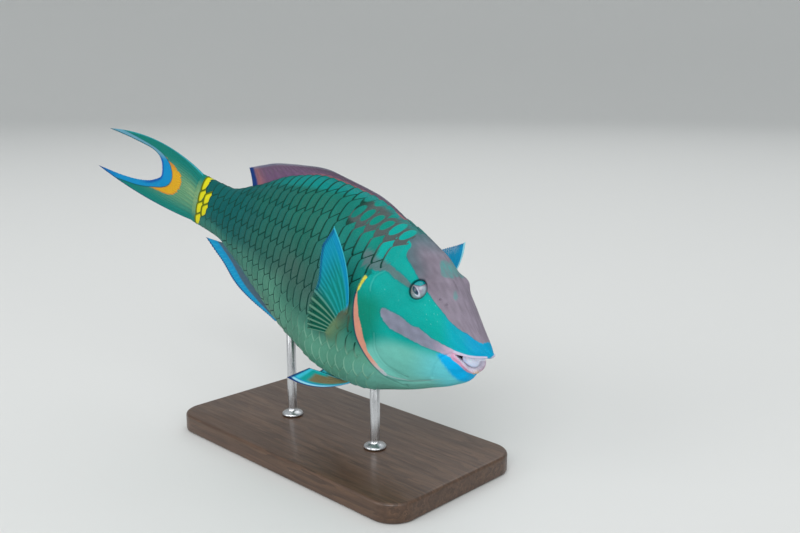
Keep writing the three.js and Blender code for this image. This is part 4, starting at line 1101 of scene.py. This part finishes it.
# Pelvic fins
PELVIC = dict(root=((0.307, 0.028), (0.35, 0.014)), ends=((-0.487, 0.05, -0.268), (-0.445, 0.03, -0.2255)),
              bow=0.018, rays=6, per_ray=24, columns=60, split=(0.35, 0.65))
PELVIC_BROWN = linear(112, 106, 76)
for side, name in SIDES.items():
    share, u = fin_grid(PELVIC)
    outer, inner = (bare_skin(b, side * (np.pi - np.arcsin(left / half_at(b))))
                    for b, left in PELVIC["root"])
    outer_end, inner_end = (np.array([x, side * y, z]) * LENGTH for x, y, z in PELVIC["ends"])
    face = unit(np.cross(outer_end - outer, inner_end - inner))
    reach = u * 1.06 - 0.06
    out = np.clip(reach, 0, 1)
    ray = ray_ridges(share, u, PELVIC)
    root = outer + (inner - outer) * share[..., None]
    end = outer_end + (inner_end - outer_end) * (share ** 0.8)[..., None]
    notch = 1 - 0.05 * (1 - ray) * out ** 5
    middle = root + (end - root) * (reach * notch)[..., None]
    bow = -PELVIC["bow"] * 4 * out * (1 - out) * (1 - share)
    middle[..., 2] += LENGTH * np.where(reach < 0, -reach / 0.06 * 0.016, bow)
    half = (0.25 + 1.3 * (1 - out) ** 3 + 0.36 * ray * (1 - 0.6 * out)) * MM
    rim_share = np.maximum(smooth(out, 0.66, 0.78), smooth(share, 0.74, 0.86) * smooth(out, 0.3, 0.5))
    tint = layered(
        PELVIC_BROWN,
        (FIN_TEAL, rim_share),
        (FIN_TEAL, 0.8 * smooth(0.3 - share, 0, 0.08)),
        (FIN_CYAN, 0.8 * smooth(out, 0.84, 0.9) + 0.5 * smooth(share, 0.93, 0.97)),
        (FIN_BLUE, smooth(0.2 - share, 0, 0.06)),
        (FIN_WHITE, 0.9 * smooth(0.13 - share, 0, 0.03) * (0.4 + 0.6 * smooth(out, 0.1, 0.5))),
        (FIN_NAVY, 0.9 * smooth(out, 0.955, 0.985) + smooth(0.04 - share, 0, 0.02)))
    sheet("pelvic_membrane_" + name, middle, face, half, FIN_SKIN, "pelvic_fin_" + name, "fin_green", tint)

# Eyes, painted in a plane turned to the eye's own slant
IRIS = linear(140, 138, 154)
IRIS_OLIVE = linear(112, 122, 116)
IRIS_CYAN = linear(136, 160, 172)
IRIS_LOW = linear(118, 146, 148)
IRIS_TOP = linear(0, 142, 148)
PUPIL = linear(0, 62, 74)
PUPIL_NAVY = linear(0, 26, 66)
# Colour of the painted highlight: the light's reflection at the pupil's lower front edge
PAINTED_EYE_GLINT = linear(190, 198, 214)
EYE_SLANT = ((0.687, 0.62), (-0.593, 0.78))
PUPIL_AT = (-1.5, -0.9)  # millimetres
PUPIL_HALF = (3.2, 1.45)
PUPIL_SLANT = (0.515, 0.857)
EYE_BRIM = [(-4.75, 4.15), (-1.2, 2.4), (2.1, 1.8), (3.3, 2.7), (5.0, 4.4)]


def eye_tint(ahead, up, front):
    """The eye's colours, from millimetres ahead of and above its middle, with a painted highlight at the
    pupil's edge.
    """
    x, y = (along_ahead * ahead + along_up * up for along_ahead, along_up in EYE_SLANT)
    around = np.arctan2(y, x)
    streaks = 0.5 + 0.5 * waves(around * 3, np.hypot(x, y) * 0.15, 0.6, 8)
    tint = layered(
        IRIS,
        (IRIS_OLIVE, 0.8 * smooth(-x, 1.0, 4.0)),
        (IRIS_LOW, 0.8 * smooth(-y, 1.6, 4.2)),
        (IRIS_CYAN, 0.8 * smooth(x, 1.8, 4.2) * smooth(2.4 - y, 0, 1.5)))
    tint = tint * (0.86 + 0.2 * streaks[..., None])
    dx, dy = x - PUPIL_AT[0], y - PUPIL_AT[1]
    cosine, sine = PUPIL_SLANT
    along, across = cosine * dx - sine * dy, sine * dx + cosine * dy
    pupil = np.hypot(along / PUPIL_HALF[0], across / (PUPIL_HALF[1] - 0.2 * smooth(-along, 1.0, 3.0)))
    direction = np.degrees(np.arctan2(dy, dx))
    # The side of the pupil where a pale crescent is painted as a highlight, standing for the light's
    # reflection
    lit = smooth(direction, -112, -84) * fade(direction, 30, 62)
    brim = np.interp(x, *zip(*EYE_BRIM))
    return layered(
        tint,
        (PAINTED_EYE_GLINT, 0.9 * lit * smooth(1.5 - pupil, 0, 0.3) * front),
        (PUPIL, smooth(1.04 - pupil, 0, 0.14) * front),
        (PUPIL_NAVY, smooth(1.0 - pupil, 0, 0.12) * smooth(across, -0.5, 0.8) * front),
        (IRIS_TOP, smooth(y - brim, -0.15, 0.25)),
        (SOCKET, 0.75 * bell(y - brim, -0.15, 0.3)))


eye_finish = Nodes("eye")
eye_finish.set(Base_Color=eye_finish.named("tint"), Roughness=0.25, Coat_Weight=0.35, Coat_Roughness=0.06)
eye_finish.set(Normal=eye_finish.bump(eye_finish.noise(1500, 3), 0.1, 0.0003))
EYE_RINGS, EYE_AROUND = 90, 120
for side, name in SIDES.items():
    at, out_way, ahead_way, up_way = eye_frame(side)
    polar, turn = np.meshgrid(np.linspace(0.004, np.pi - 0.004, EYE_RINGS),
                              np.arange(EYE_AROUND) / EYE_AROUND * 2 * np.pi, indexing="ij")
    x = EYE["ahead"] * np.sin(polar) * np.cos(turn)
    y = EYE["up"] * np.sin(polar) * np.sin(turn)
    z = EYE["out"] * np.cos(polar)
    points = at + x[..., None] * ahead_way + y[..., None] * up_way + (z - EYE["sunk"])[..., None] * out_way
    capped_piece("eyeball_" + name, points, eye_tint(x / MM, y / MM, (z > 0).astype(float)),
                 eye_finish.material, "eye_" + name, flip=np.cross(ahead_way, up_way) @ out_way > 0,
                 slot="eye")

# Tooth plates: horseshoe walls of many small fused teeth
LOWER_PLATE = dict(back=0.047, length=0.021, half=0.0265, wall=0.007, edge=(-0.001, 0.009))
UPPER_PLATE = dict(back=0.047, length=0.033, half=0.022, wall=0.006, edge=(-0.003, 0.001))
tooth_finish = Nodes("tooth_plate")
enamel = tooth_finish.mix(tooth_finish.span(tooth_finish.noise(600, 3), 0.35, 0.7, 0, 0.16),
                          tooth_finish.named("tint"), (0.72, 0.7, 0.66, 1), "MULTIPLY")
tooth_finish.set(Base_Color=enamel, Roughness=0.25, Coat_Weight=0.4, Coat_Roughness=0.12,
                 Subsurface_Weight=0.12, Subsurface_Scale=0.002)
TOOTH_WHITE = linear(226, 232, 252)
TOOTH_BLUE = linear(190, 210, 240)
TOOTH_WAVES = 34


def tooth_plate(name, node, plate, lip_line, rise):
    angle, share = np.meshgrid(np.linspace(0, np.pi, 120), np.linspace(0, 1, 15), indexing="ij")
    edge = plate["edge"][0] + (plate["edge"][1] - plate["edge"][0]) * np.sin(angle) ** 0.6
    inset = np.where(share < 0.5, 0.0008 - 0.0016 * share, plate["wall"])
    along = np.where(share < 0.5, share * 2, 2 - share * 2)
    tooth = 0.5 + 0.5 * np.cos(angle * TOOTH_WAVES)
    back = plate["back"] - (plate["length"] - inset) * np.sin(angle)
    root = height_of(lip_line, back) + rise
    crown = edge + (0.0012 * tooth - 0.0005) * np.sign(edge - root)
    swell = 0.0007 * tooth * smooth(along, 0.1, 0.6) * (share < 0.5)
    points = place(back - swell * np.sin(angle), (plate["half"] - inset + swell) * np.cos(angle),
                   root + (crown - root) * along)
    tint = blend(TOOTH_WHITE, TOOTH_BLUE, 0.7 * smooth(0.55 - along, 0, 0.5))
    capped_piece(name, points, tint, tooth_finish.material, node, slot="tooth")


tooth_plate("lower_teeth", "lower_tooth_plate", LOWER_PLATE, LOWER_LIP_LINE, -0.004)
tooth_plate("upper_teeth", "upper_tooth_plate", UPPER_PLATE, UPPER_LIP_LINE, -0.0015)

# Stand: a wooden base with rounded edges and two steel rods
BASE = dict(length=236, width=124, height=14, corner=18, edge=2.2)
ROD = dict(radius=3.5, foot=8, foot_height=4, around=48)
ROD_BACK = (0.262, 0.562)
ROD_SUNK = 12 * MM

wood = Nodes("stand_wood")
stretched = wood.add("Mapping", Vector=wood.where(), Scale=(1.2, 14, 14)).outputs["Vector"]
warp = wood.noise(3.5, 4, 0.6, stretched)
grain = wood.noise(22, 8, 0.7, stretched)
pores = wood.noise(130, 3, 0.6, stretched)
ringed = wood.maths("FRACT", wood.maths("MULTIPLY", warp, 9), 0)
dark = wood.mix(wood.span(ringed, 0.0, 1.0, 0.1, 0.9), (0.055, 0.026, 0.013, 1), (0.13, 0.066, 0.034, 1))
dark = wood.mix(wood.span(grain, 0.35, 0.7, 0, 0.7), dark, (0.03, 0.014, 0.008, 1))
wood.set(Base_Color=wood.mix(wood.span(pores, 0.6, 0.75, 0, 0.6), dark, (0.012, 0.006, 0.004, 1)),
         Roughness=wood.span(grain, 0.3, 0.7, 0.32, 0.5), Coat_Weight=0.25, Coat_Roughness=0.2,
         Normal=wood.bump(pores, 0.25, 0.0003))
steel = Nodes("stand_steel")
brushed = steel.add("Mapping", Vector=steel.where(), Scale=(60, 60, 4)).outputs["Vector"]
steel.set(Base_Color=(0.62, 0.63, 0.65, 1), Metallic=1.0,
          Roughness=steel.span(steel.noise(40, 3, 0.6, brushed), 0.3, 0.7, 0.2, 0.38))

angles = np.radians(np.linspace(-90, 0, 13) + 90 * np.arange(4)[:, None]).ravel()
corner_x = np.repeat([1, 1, -1, -1], 13) * (BASE["length"] / 2 - BASE["corner"])
corner_y = np.repeat([-1, 1, 1, -1], 13) * (BASE["width"] / 2 - BASE["corner"])
bend = np.linspace(0, np.pi / 2, 7)
lower_edge = [(BASE["edge"] * (1 - np.sin(a)), BASE["edge"] * (1 - np.cos(a))) for a in bend]
upper_edge = [(height, BASE["height"] - inset) for inset, height in lower_edge]
rings = [np.stack([corner_x + np.cos(angles) * (BASE["corner"] - inset),
                   corner_y + np.sin(angles) * (BASE["corner"] - inset),
                   np.full(len(angles), height)], -1) for inset, height in lower_edge + upper_edge]
centres = np.array([[0, 0, 0], [0, 0, BASE["height"]]])
piece("stand_plinth", np.concatenate([*rings, centres]) * MM, capped_faces(len(rings), len(angles)),
      wood.material, "stand_base", slot="stand_wood", of_fish=False)

for back, name in zip(ROD_BACK, ("front", "rear")):
    belly = FISH @ Vector(bare_skin(back, math.pi))
    low, top = BASE["height"] + 0.3, (belly.z + ROD_SUNK) / MM
    foot, radius = ROD["foot"], ROD["radius"]
    shape = [(0.01, low), (foot - 0.4, low), (foot, low + 0.4), (foot, low + 1.2), (foot - 0.8, low + 2),
             (radius + 1.2, low + 3.2), (radius, low + ROD["foot_height"]), (radius, low + 6),
             (radius, top - 0.5), (radius - 0.5, top), (0.01, top)]
    turn = np.arange(ROD["around"]) / ROD["around"] * 2 * np.pi
    rings = [np.stack([r * np.cos(turn) + belly.x / MM, r * np.sin(turn) + belly.y / MM,
                       np.full(ROD["around"], z)], -1) for r, z in shape]
    faces, _ = grid_faces(len(rings), ROD["around"], wrap=True)
    piece("stand_pin_" + name, np.concatenate(rings) * MM, faces, steel.material, "stand_rod_" + name,
          slot="stand_steel", of_fish=False)

# Floor: a wide bowl with a flat middle
scene = bpy.context.scene
floor_finish = Nodes("floor")
floor_finish.set(Base_Color=(0.68, 0.68, 0.67, 1), Roughness=0.75)
BOWL = dict(flat=5.0, curve=4.0, wall=5.0, around=96)
sweep = [(0.0, 0.0), (0.6, 0.0), (1.5, 0.0), (3.0, 0.0)]
sweep += [(BOWL["flat"] + BOWL["curve"] * math.sin(a), BOWL["curve"] * (1 - math.cos(a)))
          for a in np.linspace(0, math.pi / 2, 20)] + [(BOWL["flat"] + BOWL["curve"], BOWL["wall"])]
turn = np.arange(BOWL["around"]) / BOWL["around"] * 2 * np.pi
floor_points = [(r * math.cos(a), r * math.sin(a), z) for r, z in sweep for a in turn]
floor_faces = np.roll(grid_faces(len(sweep), BOWL["around"], wrap=True)[0][:, ::-1], 1, axis=1)
mesh = bpy.data.meshes.new("floor")
mesh.from_pydata(floor_points, [], floor_faces.tolist())
mesh.polygons.foreach_set("use_smooth", [True] * len(mesh.polygons))
floor = bpy.data.objects.new("floor", mesh)
mesh.materials.append(floor_finish.material)
scene.collection.objects.link(floor)

# Light
WORLD_COLOUR = (0.88, 0.93, 0.95, 1)
WORLD_STRENGTH = 0.62
world = bpy.data.worlds.new("studio")
scene.world = world
world.use_nodes = True
world.node_tree.nodes["Background"].inputs["Color"].default_value = WORLD_COLOUR
world.node_tree.nodes["Background"].inputs["Strength"].default_value = WORLD_STRENGTH
# Round area lights: where they are and aim at, their size and their power in watts
LIGHTS = {
    "key": ((1.9, -3.4, 3.2), (0, 0, 0.1), 3.2, 110),
    "low": ((-1.4, -3.6, 1.9), (-0.05, 0, 0.1), 2.6, 38),
    "front": ((3.4, -0.8, 1.8), (0.05, 0, 0.1), 2.4, 26),
    "top": ((-0.4, 0.6, 3.6), (-0.05, 0, 0.1), 3.0, 14),
    "back": ((-1.2, 2.6, 3.6), (-0.05, 0, 0.1), 3.0, 26)}
for name, (at, aim, size, power) in LIGHTS.items():
    light = bpy.data.lights.new(name, "AREA")
    light.shape = "DISK"
    light.size = size
    light.energy = power
    obj = bpy.data.objects.new(name, light)
    obj.location = at
    obj.rotation_euler = (Vector(aim) - Vector(at)).to_track_quat("-Z", "Y").to_euler()
    scene.collection.objects.link(obj)

# The camera that took the photograph, solved from the fish's outline
VIEW = Matrix(((0.69728, 0.66348, 0.27129), (-0.37833, 0.01918, 0.92547), (0.60883, -0.74795, 0.26439)))
EYE_POINT = Vector((0.898, -1.461, 0.610)) * LENGTH
LENS = 40.5
SENSOR_WIDTH = 36
camera = bpy.data.objects.new("camera", bpy.data.cameras.new("camera"))
camera.data.lens = LENS
camera.data.sensor_width = SENSOR_WIDTH
camera.data.clip_start = 0.01
turned = FISH.to_3x3() @ VIEW.transposed()
camera.matrix_world = Matrix.Translation(FISH @ EYE_POINT) @ turned.to_4x4()
scene.collection.objects.link(camera)
scene.camera = camera
scene.view_settings.view_transform = "Standard"

bpy.context.view_layer.update()
